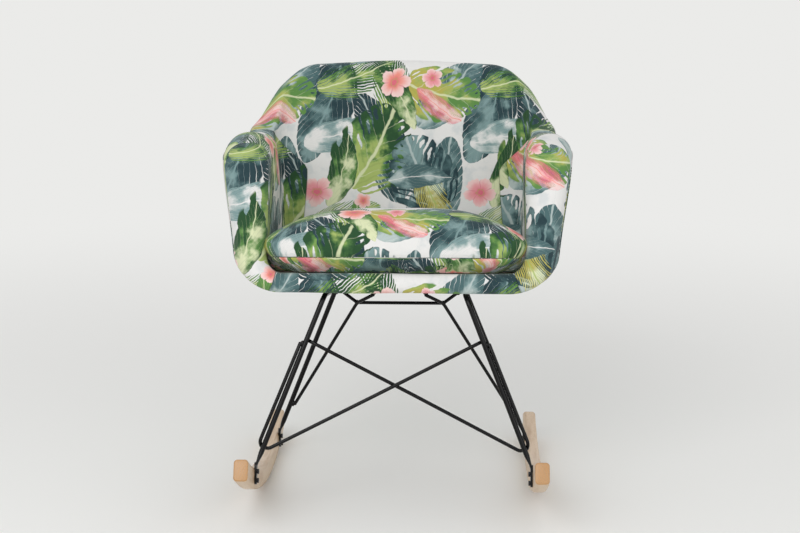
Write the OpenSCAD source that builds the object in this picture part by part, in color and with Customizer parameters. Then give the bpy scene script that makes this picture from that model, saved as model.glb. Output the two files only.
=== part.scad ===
/* [Rest] */
// Angle that the chair leans back by when it stands empty on its runners
rest_lean = 7.8; // [0:0.1:12]

/* [Runners] */
// Radius of the curved underside of a runner
runner_radius = 1020; // [800:5:1400]
// Half of the angle that a runner spans round its centre
runner_half_angle = 20; // [17:0.1:24]
// Height of the wood
runner_height = 41; // [34:0.5:50]
// Thickness of the wood
runner_thickness = 27; // [22:0.5:34]
// Distance between the middles of the two runners
runner_spacing = 552; // [480:1:640]
// Rounding of the four long edges
runner_edge = 7; // [2:0.5:10]

/* [Steel base] */
// Diameter of the leg rods
leg_d = 10; // [8:0.5:13]
// Diameter of the bracing wire
wire_d = 7; // [5:0.5:9]
// Angle on the runner of the front feet, ahead of the runner's middle
front_foot_angle = 13.5; // [12:0.1:15]
// Angle on the runner of the rear feet, behind the runner's middle
rear_foot_angle = 13; // [11:0.1:15]
// Distance between the top rails, which run under the seat
rail_spacing = 268; // [220:1:320]
// Place of the front bend of a top rail, ahead of the runner's middle
rail_front = 186; // [150:1:192]
// Room between the rear bend of a top rail and where the line of the back crosses the seat
rail_rear_room = 113; // [85:1:145]
// Distance of the cross rod ahead of the rear bends
cross_rod_reach = 61; // [52:1:100]
// Bending radius of the leg rods
rod_bend = 26; // [14:1:40]
// Bending radius of the bracing wire
wire_bend = 14; // [9:1:24]
// Share of the front leg's length at which the brace joins it
brace_share = 0.73; // [0.5:0.01:0.8]
// Height of the brace's loop over the runner's underside
loop_height = 84; // [68:1:95]
// Distance between the two corners of the rear tie bar
tie_width = 178; // [140:1:220]
// Drop of the rear tie bar below the top rails
tie_drop = 27; // [20:1:50]

/* [Feet] */
// Thickness of a foot tab
tab_thickness = 5; // [4:0.5:7]
// Width of a foot tab
tab_width = 16; // [13:0.5:22]
// Length of a foot tab
tab_length = 42; // [36:1:48]
// Distance between the two screws of a foot
foot_pitch = 17; // [14:0.5:18]
// Diameter of a foot screw
foot_screw_d = 5; // [4:0.5:6]
// Depth of the pocket that a tab sits in
pocket_depth = 1; // [0.5:0.5:3]

/* [Tub] */
// Place of the front edge of the seat, ahead of the runner's middle
seat_front = 207; // [195:1:225]
// Height of the middle of the seat's edge at the front
seat_height = 415.5; // [400:0.5:435]
// Slope of the seat, down towards the back
seat_slope = 2.2; // [0:0.1:5]
// Length of the back, from where its line crosses the seat to its top edge
back_length = 454; // [430:1:480]
// Lean of the back from upright, before the chair leans
back_lean = 12.5; // [9:0.1:15]
// Radius between the seat and the back, at the middle of the wall
heel_radius = 100; // [85:1:115]
// Radius between the seat and the arms, at the middle of the wall
side_radius = 55; // [50:1:64]
// Radius between the back and its side edges, at the middle of the wall
wing_radius = 84; // [76:1:96]
// Height of the top of the arms' middle
arm_height = 703; // [680:1:730]
// Half of the width between the middles of the arms, at their widest
arm_half = 299; // [285:1:315]
// Half thickness of an arm at its top
arm_half_thick = 46; // [40:1:48]
// Half thickness of an arm beside the seat
arm_low_half_thick = 31; // [28:1:36]
// Half thickness of the back
back_half_thick = 26; // [24:1:32]
// Half thickness of the seat
seat_half_thick = 19; // [17:0.5:24]
// Thickness of the padding and shell below the middle of the seat's wall, behind the front roll
under_half_thick = 12; // [10:0.5:16]
// Setback of the arm fronts from the front edge of the seat
arm_setback = 70; // [50:1:80]
// Fall of the arm's top towards its front
arm_fall = 32; // [20:1:38]
// Reach of the back's side edge ahead of its middle, level with the arms
wing_depth = 106; // [95:1:118]
// Reach of the side edge ahead of the middle at the top of the back
wing_top_depth = 17; // [12:1:30]
// Rise of the top edge at its middle over its corners
crown_height = 18; // [8:1:26]
// Width of a round top corner of the back
corner_width = 108; // [90:1:130]
// Height of a round top corner of the back
corner_height = 180; // [150:1:190]
// Thickness of the moulded core
core_thickness = 7; // [4:0.5:10]
// Thickness of the woven cover
cover_thickness = 1.2; // [0.8:0.1:2.5]

/* [Cushion] */
// Room between each side of the seat cushion and the arm beside it
cushion_side_room = 1.9; // [0.9:0.1:17]
// Depth of the seat cushion
cushion_depth = 386; // [365:1:405]
// Room behind the cushion, to where the line of the back crosses the seat
cushion_rear_room = 55; // [48:1:70]
// Thickness of the cushion at its middle
cushion_height = 124; // [90:1:134]
// Height of the seam over the underside
seam_height = 30; // [22:1:45]
// Height that the cushion lifts out by
cushion_lift = 420; // [300:5:600]

/* [Seat fixings] */
// Diameter of the seat screws
seat_screw_d = 6; // [5:0.5:8]
// Thickness of the mounting plates
plate_thickness = 3; // [2:0.5:5]
// Side of a mounting plate
plate_side = 34; // [30:1:44]

/* [Hidden] */

// Clearances and the overrun of cuts
fit_gap = 0.3;
hole_gap = 0.4;
overrun = 1;

// Small sizes of the feet and fixings
screw_head_ratio_share = 1.9;
screw_head_height = 3.4;
hex_socket_depth = 2;
insert_wall = 2;
insert_length = 15;
tab_inset = 8;
foot_screw_middle = 24;
strut_foot_rise = 65;
washer_thickness = 1.4;
spacer_wall = 7;
tee_flange = 22;
tee_thickness = 1.6;
tee_barrel = 9;
screw_past_nut = 2;
cloth_thickness = 0.8;
cloth_margin = 14;

// Unit helpers
function unit(v) = v / norm(v);
function lerp(a, b, t) = a + (b - a) * t;
function clamp01(t) = min(1, max(0, t));
function smooth(t) = let (c = clamp01(t)) c * c * (3 - 2 * c);

// Places on the runners. Height is measured from the underside, towards the centre
tab_face = runner_spacing / 2 - runner_thickness / 2 + pocket_depth - fit_gap;
tab_middle = tab_face - tab_thickness / 2;
rod_foot_x = tab_middle - tab_thickness / 2;
rod_foot_height = tab_inset + tab_length + fit_gap;
function on_runner(x, angle, height) = [
    x,
    (runner_radius - height) * sin(angle),
    runner_radius - (runner_radius - height) * cos(angle)
];

// The seat is as deep as the cushion and its rooms, and the rails end in step with it
cushion_setback = 1;
cushion_front = seat_front - cushion_setback;
seat_depth = cushion_setback + cushion_depth + cushion_rear_room;
rail_rear = seat_depth - seat_front - rail_rear_room;

// The seat plane, through the middle of the seat's thickness
deck_dir = [cos(seat_slope), -sin(seat_slope)];
deck_up = [sin(seat_slope), cos(seat_slope)];
function on_deck(x, y, rise) = let (
    run = (y + seat_front) / cos(seat_slope)
) [x, -seat_front + run * deck_dir[0] + rise * deck_up[0], seat_height + run * deck_dir[1] + rise * deck_up[1]];
cloth_rise = -under_half_thick - fit_gap - cloth_thickness / 2;
plate_rise = -under_half_thick - 2 * fit_gap - cloth_thickness - plate_thickness / 2;
rail_rise = plate_rise - plate_thickness / 2 - fit_gap - leg_d / 2;
rail_x = rail_spacing / 2;
plate_x = rail_x - plate_side / 2;
plate_front = -rail_front + plate_side;
plate_rear = rail_rear - plate_side;

// Paths of the rods, for the right-hand side
front_rod_foot = on_runner(rod_foot_x, -front_foot_angle, rod_foot_height);
rear_rod_foot = on_runner(rod_foot_x, rear_foot_angle, rod_foot_height);
rail_front_point = on_deck(rail_x, -rail_front, rail_rise);
rail_rear_point = on_deck(rail_x, rail_rear, rail_rise);
side_rod_points = [front_rod_foot, rail_front_point, rail_rear_point, rear_rod_foot];

// The bow-tie brace. One half runs from the left leg's joint to the right foot and up the right leg
touch = leg_d / 2 + wire_d / 2 + fit_gap;
lap = touch + wire_d / 4;
leg_line = unit(rail_front_point - front_rod_foot);
leg_length = norm(rail_front_point - front_rod_foot);
leg_side = unit([leg_line[2], 0, -leg_line[0]]);
leg_front = unit(cross(leg_line, leg_side));
loop_point = on_runner(rod_foot_x, -front_foot_angle, loop_height);
loop_on_leg = front_rod_foot + leg_line * (loop_point - front_rod_foot) * leg_line;
joint_on_leg = front_rod_foot + leg_line * leg_length * brace_share;
cross_offset = wire_d * 0.8;
function mirror_x(p) = [-p[0], p[1], p[2]];
function mirror_all(points) = [for (p = points) mirror_x(p)];
// ahead is 1 for the half that passes in front at the crossing and -1 for the other
function brace_points(ahead) = let (
    start = mirror_x(joint_on_leg + leg_front * lap),
    foot_inner = loop_on_leg + leg_front * lap - leg_side * lap,
    foot_front = loop_on_leg + leg_front * lap + leg_side * wire_d / 2 - leg_line * wire_d / 2,
    foot_outer = loop_on_leg + leg_side * lap + leg_line * wire_d,
    climb_end = joint_on_leg + leg_side * touch - leg_line * leg_d,
    middle = (start + foot_inner) / 2
) [
    start,
    [middle[0], middle[1] - ahead * cross_offset, middle[2]],
    foot_inner,
    foot_front,
    foot_outer,
    climb_end
];

// The rear struts and their tie bar
tie_half = tie_width / 2;
strut_spread_share = 0.6;
tie_y = rail_rear - tie_drop / 2;
tie_end = on_deck(rail_x - leg_d / 2 - fit_gap - wire_d / 2, tie_y, rail_rise);
tie_corner = on_deck(tie_half, tie_y, rail_rise - tie_drop);
tie_points = [tie_end, tie_corner, mirror_x(tie_corner), mirror_x(tie_end)];
rear_line = unit(rail_rear_point - rear_rod_foot);
rear_inner = unit([-rear_line[2], 0, rear_line[0]]);
strut_foot = rear_rod_foot + rear_line * strut_foot_rise + rear_inner * touch;
strut_corner = tie_corner - [0, wire_d + fit_gap, 0];
strut_top_x = tie_half * strut_spread_share;
cross_rod_point = on_deck(rail_x - leg_d / 2 - fit_gap, rail_rear - cross_rod_reach, rail_rise);
strut_top = [strut_top_x, cross_rod_point[1], cross_rod_point[2] - leg_d / 2 - wire_d / 2 - fit_gap];
strut_points = [strut_foot, strut_corner, strut_top];

// Rounds the inner corners of a path with short curves
function rounded(points, radius, steps) = concat(
    [points[0]],
    [for (i = [1 : len(points) - 2])
        let (
            before = unit(points[i - 1] - points[i]),
            after = unit(points[i + 1] - points[i]),
            turn = 180 - acos(max(-1, min(1, before * after))),
            room = min(norm(points[i - 1] - points[i]), norm(points[i + 1] - points[i])) * 0.45,
            cut = min(room, radius * tan(turn / 2)),
            a = points[i] + before * cut,
            b = points[i] + after * cut
        )
        for (k = [0 : steps])
            let (t = k / steps) (1 - t) * (1 - t) * a + 2 * t * (1 - t) * points[i] + t * t * b],
    [points[len(points) - 1]]
);

// Direction of a path at each of its points
function tangents(path) = [for (i = [0 : len(path) - 1])
    unit(path[min(i + 1, len(path) - 1)] - path[max(i - 1, 0)])];

function ring_faces(rows, sides) = concat(
    [for (i = [0 : rows - 2]) for (k = [0 : sides - 1])
        let (a = i * sides + k, b = i * sides + (k + 1) % sides) [a, b + sides, b]],
    [for (i = [0 : rows - 2]) for (k = [0 : sides - 1])
        let (a = i * sides + k, b = i * sides + (k + 1) % sides) [a, a + sides, b + sides]],
    [for (k = [1 : sides - 2]) [0, k, k + 1]],
    [for (k = [1 : sides - 2]) let (m = (rows - 1) * sides) [m, m + k + 1, m + k]]
);

// A round bar swept along a path
module swept_bar(path, d, sides) {
    t = tangents(path);
    across = abs(t[0][1]) < 0.9 ? [0, 1, 0] : [1, 0, 0];
    normals = [for (i = 0, n = unit(cross(t[0], across)); i < len(path);
        i = i + 1, n = i < len(path) ? unit(n - (n * t[i]) * t[i]) : n) n];
    points = [for (i = [0 : len(path) - 1]) for (k = [0 : sides - 1])
        let (n = normals[i], b = cross(t[i], n), a = 360 * k / sides)
        path[i] + (n * cos(a) + b * sin(a)) * d / 2];
    polyhedron(points, ring_faces(len(path), sides), convexity = 8);
}

// Leans a level chair back to where it rests
module at_rest() {
    translate([0, 0, runner_radius])
        rotate([-rest_lean, 0, 0])
            translate([0, 0, -runner_radius])
                children();
}

// Puts a thing on the runner at an angle, with its own Z towards the runner's centre
module at_foot(angle) {
    translate([0, 0, runner_radius])
        rotate([angle, 0, 0])
            translate([0, 0, -runner_radius])
                children();
}

module both_sides() {
    children();
    mirror([1, 0, 0]) children();
}

module each_foot() {
    at_foot(-front_foot_angle) children();
    at_foot(rear_foot_angle) children();
}

module each_foot_screw() {
    for (k = [-1, 1])
        translate([tab_middle - tab_thickness / 2, 0, foot_screw_middle + k * foot_pitch / 2])
            rotate([0, 90, 0])
                children();
}

module rounded_bar_section() {
    w = runner_height / 2 - runner_edge;
    t = runner_thickness / 2 - runner_edge;
    square([runner_height, 2 * t], center = true);
    square([2 * w, runner_thickness], center = true);
    for (i = [-1, 1], j = [-1, 1])
        translate([i * w, j * t])
            circle(r = runner_edge, $fn = 32);
}

module tab_blank(grow) {
    translate([tab_middle, 0, tab_inset + tab_length / 2]) {
        cube([tab_thickness + 2 * grow, tab_width + 2 * grow, tab_length - tab_width], center = true);
        for (k = [-1, 1])
            translate([0, 0, k * (tab_length - tab_width) / 2])
                rotate([0, 90, 0])
                    cylinder(h = tab_thickness + 2 * grow, d = tab_width + 2 * grow, center = true, $fn = 48);
    }
}

module runner() {
    color("burlywood")
        difference() {
            translate([runner_spacing / 2, 0, runner_radius])
                rotate([0, 90, 0])
                    rotate([0, 0, -runner_half_angle])
                        rotate_extrude(angle = 2 * runner_half_angle, $fn = 360)
                            translate([runner_radius - runner_height / 2, 0])
                                rounded_bar_section();
            each_foot() {
                tab_blank(fit_gap);
                each_foot_screw()
                    cylinder(h = tab_thickness + insert_length + 2 * fit_gap,
                        d = foot_screw_d + 2 * insert_wall + 2 * fit_gap, $fn = 48);
            }
        }
}

module foot_tab() {
    color([0.05, 0.05, 0.05])
        difference() {
            tab_blank(0);
            each_foot_screw()
                translate([0, 0, -overrun])
                    cylinder(h = tab_thickness + 2 * overrun, d = foot_screw_d + 2 * hole_gap, $fn = 48);
        }
}

module foot_screw() {
    head_d = foot_screw_d * screw_head_ratio_share;
    difference() {
        union() {
            translate([0, 0, -fit_gap - screw_head_height])
                cylinder(h = screw_head_height, d = head_d, $fn = 48);
            translate([0, 0, -fit_gap - screw_head_height / 2])
                cylinder(h = tab_thickness + insert_length - screw_past_nut, d = foot_screw_d, $fn = 48);
        }
        translate([0, 0, -fit_gap - screw_head_height - overrun])
            cylinder(h = hex_socket_depth + overrun, d = foot_screw_d * 0.65, $fn = 6);
    }
}

module runner_screws() {
    color([0.04, 0.04, 0.04])
        both_sides() each_foot() each_foot_screw() foot_screw();
}

module runner_inserts() {
    color("goldenrod")
        both_sides() each_foot() each_foot_screw()
            translate([0, 0, tab_thickness + fit_gap])
                difference() {
                    cylinder(h = insert_length - fit_gap, d = foot_screw_d + 2 * insert_wall, $fn = 48);
                    translate([0, 0, -overrun])
                        cylinder(h = insert_length + 2 * overrun, d = foot_screw_d + fit_gap, $fn = 48);
                }
}

module side_rod() {
    color([0.05, 0.05, 0.05])
        swept_bar(rounded(side_rod_points, rod_bend, 6), leg_d, 16);
}

module front_brace(ahead) {
    color([0.05, 0.05, 0.05])
        swept_bar(rounded(brace_points(ahead), wire_bend, 4), wire_d, 12);
}

module rear_strut() {
    color([0.05, 0.05, 0.05])
        swept_bar(rounded(strut_points, wire_bend * 2, 5), wire_d, 12);
}

module rear_tie_bar() {
    color([0.05, 0.05, 0.05])
        swept_bar(rounded(tie_points, wire_bend, 5), wire_d, 12);
}

module cross_rod() {
    color([0.05, 0.05, 0.05])
        translate([0, cross_rod_point[1], cross_rod_point[2]])
            rotate([0, 90, 0])
                cylinder(h = 2 * cross_rod_point[0], d = leg_d, center = true, $fn = 48);
}

// Runs its children at the four seat fixings, with Z square to the seat and zero at the middle of its thickness
module each_fixing() {
    for (s = [-1, 1], y = [plate_front, plate_rear])
        translate(on_deck(s * plate_x, y, 0))
            rotate([-seat_slope, 0, 0])
                children();
}

module mounting_plates() {
    color([0.05, 0.05, 0.05])
        each_fixing()
            translate([0, 0, plate_rise])
                difference() {
                    cube([plate_side, plate_side, plate_thickness], center = true);
                    cylinder(h = plate_thickness + 2 * overrun, d = seat_screw_d + 2 * hole_gap, center = true, $fn = 48);
                }
}

spacer_top = -core_thickness / 2 - fit_gap;
spacer_bottom = plate_rise + plate_thickness / 2 + fit_gap;
washer_top = plate_rise - plate_thickness / 2 - fit_gap;
screw_top = core_thickness / 2 + tee_thickness + screw_past_nut;

module seat_spacers() {
    color("dimgray")
        each_fixing()
            translate([0, 0, spacer_bottom])
                difference() {
                    cylinder(h = spacer_top - spacer_bottom, d = seat_screw_d + 2 * spacer_wall, $fn = 48);
                    translate([0, 0, -overrun])
                        cylinder(h = spacer_top - spacer_bottom + 2 * overrun, d = seat_screw_d + 2 * hole_gap, $fn = 48);
                }
}

module seat_washers() {
    color("silver")
        each_fixing()
            translate([0, 0, washer_top - washer_thickness])
                difference() {
                    cylinder(h = washer_thickness, d = seat_screw_d * 2.1, $fn = 48);
                    translate([0, 0, -overrun])
                        cylinder(h = washer_thickness + 2 * overrun, d = seat_screw_d + 2 * hole_gap, $fn = 48);
                }
}

module seat_screws() {
    head_top = washer_top - washer_thickness - fit_gap;
    color([0.04, 0.04, 0.04])
        each_fixing()
            difference() {
                union() {
                    translate([0, 0, head_top - screw_head_height])
                        cylinder(h = screw_head_height, d = seat_screw_d * screw_head_ratio_share, $fn = 48);
                    translate([0, 0, head_top - screw_head_height / 2])
                        cylinder(h = screw_top - head_top + screw_head_height / 2, d = seat_screw_d, $fn = 48);
                }
                translate([0, 0, head_top - screw_head_height - overrun])
                    cylinder(h = hex_socket_depth + overrun, d = seat_screw_d * 0.65, $fn = 6);
            }
}

module tee_nuts() {
    color("silver")
        each_fixing()
            difference() {
                union() {
                    translate([0, 0, core_thickness / 2 + fit_gap])
                        cylinder(h = tee_thickness, d = tee_flange, $fn = 48);
                    translate([0, 0, spacer_top + fit_gap])
                        cylinder(h = core_thickness / 2 + fit_gap + tee_thickness - spacer_top - fit_gap, d = tee_barrel, $fn = 48);
                }
                translate([0, 0, spacer_top])
                    cylinder(h = core_thickness + tee_thickness + 3 * overrun, d = seat_screw_d + fit_gap, $fn = 48);
            }
}

// The tub is a sheet. Its middle runs from the front edge over the seat and up the back, and each row of it
// is a flat-bottomed U whose ends lie on the rim
heel_turn = 90 - back_lean + seat_slope;
heel_cut = heel_radius * tan(heel_turn / 2);
seat_run = seat_depth - heel_cut;
heel_run = heel_radius * heel_turn * PI / 180;
back_run = back_length - heel_cut;
sheet_run = seat_run + heel_run + back_run;
deck_start = [-seat_front, seat_height];
heel_start = deck_start + deck_dir * seat_run;
back_dir = [sin(back_lean), cos(back_lean)];
heel_end = deck_start + deck_dir * seat_depth + back_dir * heel_cut;
back_top = heel_end + back_dir * back_run;

function centre_line(v) = let (d = v * sheet_run)
    d < seat_run ? deck_start + deck_dir * d
    : d < seat_run + heel_run ? let (a = (d - seat_run) / heel_radius * 180 / PI)
        heel_start + deck_dir * heel_radius * sin(a) + deck_up * heel_radius * (1 - cos(a))
    : heel_end + back_dir * (d - seat_run - heel_run);

// The rim, seen from the side. It runs back along the arm until the middle has climbed as high as the arm, and
// from there it goes up the back's side edge, ahead of the middle by a wing that grows shallower
arm_level_run = seat_run + heel_run + (arm_height - heel_end[1]) / back_dir[1];
arm_level = arm_level_run / sheet_run;
rim_front_y = -seat_front + arm_setback;
rim_level_y = heel_end[0] + (arm_height - heel_end[1]) / back_dir[1] * back_dir[0] - wing_depth;
rim_blend = side_radius * 0.73;
wing_power = 1.5;
arm_fall_run = 3 * arm_half_thick;
function rim_line(v) = let (
    c = centre_line(v),
    u = clamp01((v - arm_level) / (1 - arm_level)),
    wing = lerp(wing_depth, wing_top_depth, 1 - pow(1 - u, wing_power)),
    y = v < arm_level ? lerp(rim_front_y, rim_level_y, v / arm_level) : c[0] - wing,
    fall = arm_fall * pow(clamp01((rim_front_y + arm_fall_run - y) / arm_fall_run), 2),
    above = arm_height - fall - c[1],
    lift = (above + sqrt(above * above + rim_blend * rim_blend)) / 2,
    settle = rim_blend * rim_blend / 4 / (back_top[1] - arm_height) * u
) [y, c[1] + lift - settle];
rim_run = norm(back_top - [rim_front_y, arm_height]) * 1.1;

// Half width of the tub at a place in the side view
widest_y = -seat_front / 5;
front_draw = arm_half_thick * 0.11;
back_draw = arm_half_thick * 0.28;
flare_share = 0.056;
function wall_x(p) = arm_half
    - (p[0] < widest_y
        ? front_draw * pow((widest_y - p[0]) / (widest_y - rim_front_y), 2)
        : back_draw * pow((p[0] - widest_y) / (back_top[0] - widest_y), 2))
    - flare_share * (arm_height - p[1]);

back_bow = back_half_thick * 0.6;
crown_power = 12;

back_start_share = 0.42;
back_blend_share = 0.34;

// One row: [floor point, rim point, depth, end angle of the corner, length of the floor, whole half length]
function row_radius(v) = lerp(side_radius, wing_radius, smooth((v - back_start_share) / back_blend_share));
function row_of(v) = let (
    c = centre_line(v),
    g = rim_line(v),
    r = row_radius(v),
    depth = norm(g - c),
    bend = acos(max(0, 1 - depth / r)),
    floor_x = wall_x(c) - r * sin(bend),
    wall = max(0, depth - r)
) [c, g, depth, bend, floor_x, floor_x + r * bend * PI / 180 + wall];

// The sheet before its top corners are rounded
function square_point(v, s) = let (
    row = row_of(v),
    r = row_radius(v),
    a = abs(s) * row[5],
    arc = r * row[3] * PI / 180,
    turned = min(row[3], max(0, a - row[4]) / r * 180 / PI),
    flat_x = min(a, row[4]) + r * sin(turned),
    up = r * (1 - cos(turned)) + max(0, a - row[4] - arc),
    bow = back_bow * smooth(v * 2 - 0.9) * pow(flat_x / arm_half, 2),
    p = row[0] + (row[1] - row[0]) / row[2] * (up + bow * (1 - clamp01(up / r)))
) [sign(s) * flat_x * wall_x(p) / wall_x(row[0]), p[0], p[1]];

// Where a point lies in the square that is mapped to a round corner: shares across and up
function corner_shares(v, p) = [
    clamp01(1 - (wall_x([p[1], p[2]]) - abs(p[0])) / corner_width),
    clamp01(1 - (1 - v) * sheet_run / corner_height)
];
function middle_point(v, s) = let (
    p = square_point(v, s),
    share = corner_shares(v, p),
    x = abs(p[0]) - share[0] * corner_width * (1 - sqrt(1 - share[1] * share[1] / 2)),
    fall = corner_height * share[1] * (1 - sqrt(1 - share[0] * share[0] / 2)),
    crown = crown_height * pow(v, crown_power) * (1 - pow(x / arm_half, 2)),
    q = [p[1], p[2]] + back_dir * (crown - fall)
) [sign(s) * x, q[0], q[1]];

// The normal is that of the sheet before rounding, turned with the corner's outline
probe = 0.004;
function sheet_normal(v, s) = let (
    v0 = max(0, v - probe),
    v1 = min(1, v + probe),
    s0 = max(-1, s - probe),
    s1 = min(1, s + probe),
    n = unit(cross(square_point(v, s1) - square_point(v, s0), square_point(v1, s) - square_point(v0, s))),
    share = corner_shares(v, square_point(v, s)),
    across = share[0] * sqrt(1 - share[1] * share[1] / 2) / corner_width,
    along = share[1] * sqrt(1 - share[0] * share[0] / 2) / corner_height,
    tilt = across > 0 ? atan2(along, across) * share[0] : 0
) unit([n[0] * cos(tilt), n[1], n[2]] + [0, back_dir[0], back_dir[1]] * abs(n[0]) * sin(tilt) * (-1));

function wall_part(v, s) = let (row = row_of(v)) smooth((abs(s) * row[5] - row[4]) / (side_radius * 1.6));
function arm_thick_at(z) = lerp(arm_low_half_thick, arm_half_thick,
    smooth((z - seat_height - side_radius / 2) / (arm_height - seat_height - side_radius)));
function half_thick(v, s) = lerp(
    lerp(seat_half_thick, arm_thick_at(middle_point(v, s)[2]), wall_part(v, s)),
    back_half_thick, smooth((v - back_start_share) / back_blend_share));

edge_power = 2.5;
function edge_round(d, h) = d >= h ? 1 : pow(1 - pow(1 - max(0, d) / h, edge_power), 1 / edge_power);

// The underside is drawn up behind the front roll
roll_depth = 1.3 * seat_half_thick;
function drawn_up(v, s) = (seat_half_thick - under_half_thick)
    * smooth((v * sheet_run - roll_depth / 2) / roll_depth)
    * (1 - wall_part(v, s))
    * (1 - smooth((v - back_start_share) / back_blend_share));

// A point on the tub's skin, drawn in by inset. side is 1 inside the tub and -1 outside it
function skin_point(vu, su, inset, side) = let (
    run = lerp(sheet_run, rim_run, wall_part(vu, su)),
    v = lerp(inset / run, 1 - inset / run, vu),
    reach = row_of(v)[5],
    s = su * (1 - inset / reach),
    h = half_thick(v, s) - inset - (side < 0 ? drawn_up(v, s) : 0),
    k = edge_round((v * run - inset), h)
        * edge_round(((1 - v) * run - inset), h)
        * edge_round((1 - abs(s)) * reach - inset, h)
) middle_point(v, s) + sheet_normal(v, s) * side * (h * k + fit_gap / 2);

// Places of the rows from front to top, and of the columns from the middle to the rim
row_shares = [0, 0.006, 0.022, 0.05, 0.12, 0.22, 0.32, 0.411, 0.455, 0.495, 0.54, 0.6, 0.67,
    0.74, 0.81, 0.87, 0.92, 0.955, 0.98, 0.994, 1];
column_shares = [0, 0.24, 0.4, 0.46, 0.52, 0.58, 0.68, 0.8, 0.9, 0.96, 0.99, 1];
tub_rows = len(row_shares) - 1;
half_cols = len(column_shares) - 1;
tub_cols = 2 * half_cols;
function row_place(i) = row_shares[i];
function col_place(j) = sign(j - half_cols) * column_shares[abs(j - half_cols)];
function skin(inset, side) = [for (i = [0 : tub_rows]) for (j = [0 : tub_cols])
    skin_point(row_place(i), col_place(j), inset, side)];

// The core is a sheet of even thickness, so its edges are square
core_edge = 14;
function core_point(vu, su, rise) = let (
    run = lerp(sheet_run, rim_run, wall_part(vu, su)),
    v = lerp(core_edge / run, 1 - core_edge / run, vu),
    reach = row_of(v)[5],
    s = su * (1 - core_edge / reach)
) middle_point(v, s) + sheet_normal(v, s) * rise;
function core_skin(rise) = [for (i = [0 : tub_rows]) for (j = [0 : tub_cols])
    core_point(row_place(i), col_place(j), rise)];

// A closed solid between two skins of rows by cols squares
module between_skins(inner, outer, rows, cols) {
    n = (rows + 1) * (cols + 1);
    function at(i, j) = i * (cols + 1) + j;
    edge = concat(
        [for (j = [0 : cols - 1]) at(0, j)],
        [for (i = [0 : rows - 1]) at(i, cols)],
        [for (j = [cols : -1 : 1]) at(rows, j)],
        [for (i = [rows : -1 : 1]) at(i, 0)]);
    faces = concat(
        [for (i = [0 : rows - 1]) for (j = [0 : cols - 1]) [at(i, j), at(i + 1, j), at(i + 1, j + 1)]],
        [for (i = [0 : rows - 1]) for (j = [0 : cols - 1]) [at(i, j), at(i + 1, j + 1), at(i, j + 1)]],
        [for (i = [0 : rows - 1]) for (j = [0 : cols - 1]) [n + at(i, j), n + at(i + 1, j + 1), n + at(i + 1, j)]],
        [for (i = [0 : rows - 1]) for (j = [0 : cols - 1]) [n + at(i, j), n + at(i, j + 1), n + at(i + 1, j + 1)]],
        [for (k = [0 : len(edge) - 1]) let (a = edge[k], b = edge[(k + 1) % len(edge)]) [a, b, n + b]],
        [for (k = [0 : len(edge) - 1]) let (a = edge[k], b = edge[(k + 1) % len(edge)]) [a, n + b, n + a]]);
    polyhedron(concat(inner, outer), faces, convexity = 8);
}

module fixing_holes(d, low, high) {
    each_fixing()
        translate([0, 0, low])
            cylinder(h = high - low, d = d, $fn = 32);
}

module tub_core() {
    color("tan")
        difference() {
            between_skins(core_skin(core_thickness / 2), core_skin(-core_thickness / 2), tub_rows, tub_cols);
            fixing_holes(tee_barrel + 2 * fit_gap, -core_thickness, core_thickness);
        }
}

module outer_padding() {
    color("khaki")
        difference() {
            between_skins(core_skin(-core_thickness / 2 - fit_gap), skin(cover_thickness + fit_gap, -1), tub_rows, tub_cols);
            fixing_holes(seat_screw_d + 2 * spacer_wall + 2 * fit_gap, -2 * seat_half_thick, core_thickness);
        }
}

module inner_padding() {
    color("khaki")
        difference() {
            between_skins(skin(cover_thickness + fit_gap, 1), core_skin(core_thickness / 2 + fit_gap), tub_rows, tub_cols);
            fixing_holes(tee_flange + 2 * fit_gap, -core_thickness, screw_top + fit_gap);
        }
}

module outside_cover() {
    color("seagreen")
        difference() {
            between_skins(skin(cover_thickness, -1), skin(0, -1), tub_rows, tub_cols);
            fixing_holes(seat_screw_d + 2 * spacer_wall + 2 * fit_gap, -2 * seat_half_thick, core_thickness);
        }
}

module inside_cover() {
    color("mediumseagreen")
        between_skins(skin(0, 1), skin(cover_thickness, 1), tub_rows, tub_cols);
}

module underside_cloth() {
    half_x = wall_x(deck_start) - side_radius - cloth_margin;
    color([0.1, 0.1, 0.1])
        difference() {
            translate(on_deck(0, -seat_front + seat_run / 2, cloth_rise))
                rotate([-seat_slope, 0, 0])
                    cube([2 * half_x, seat_run - 4 * seat_half_thick - cloth_margin, cloth_thickness], center = true);
            fixing_holes(seat_screw_d + 2 * spacer_wall + 2 * fit_gap, -2 * seat_half_thick, core_thickness);
        }
}

// The cushion's outline from above: a box with round corners that narrows to the back
cushion_taper_share = 0.83;
cushion_plan_power = 7;
// The cushion fills the room between the arms at the seat's height
cushion_width = 2 * (arm_half - flare_share * (arm_height - seat_height) - arm_low_half_thick - cushion_side_room);
function cushion_plan(a, inset) = let (
    c = cos(a), s = sin(a),
    px = sign(c) * pow(abs(c), 2 / cushion_plan_power),
    py = sign(s) * pow(abs(s), 2 / cushion_plan_power),
    taper = lerp(1, cushion_taper_share, smooth((py + 0.9) / 1.9))
) [px * (cushion_width / 2 - inset) * taper, py * (cushion_depth / 2 - inset)];

cushion_sectors = 36;
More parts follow.
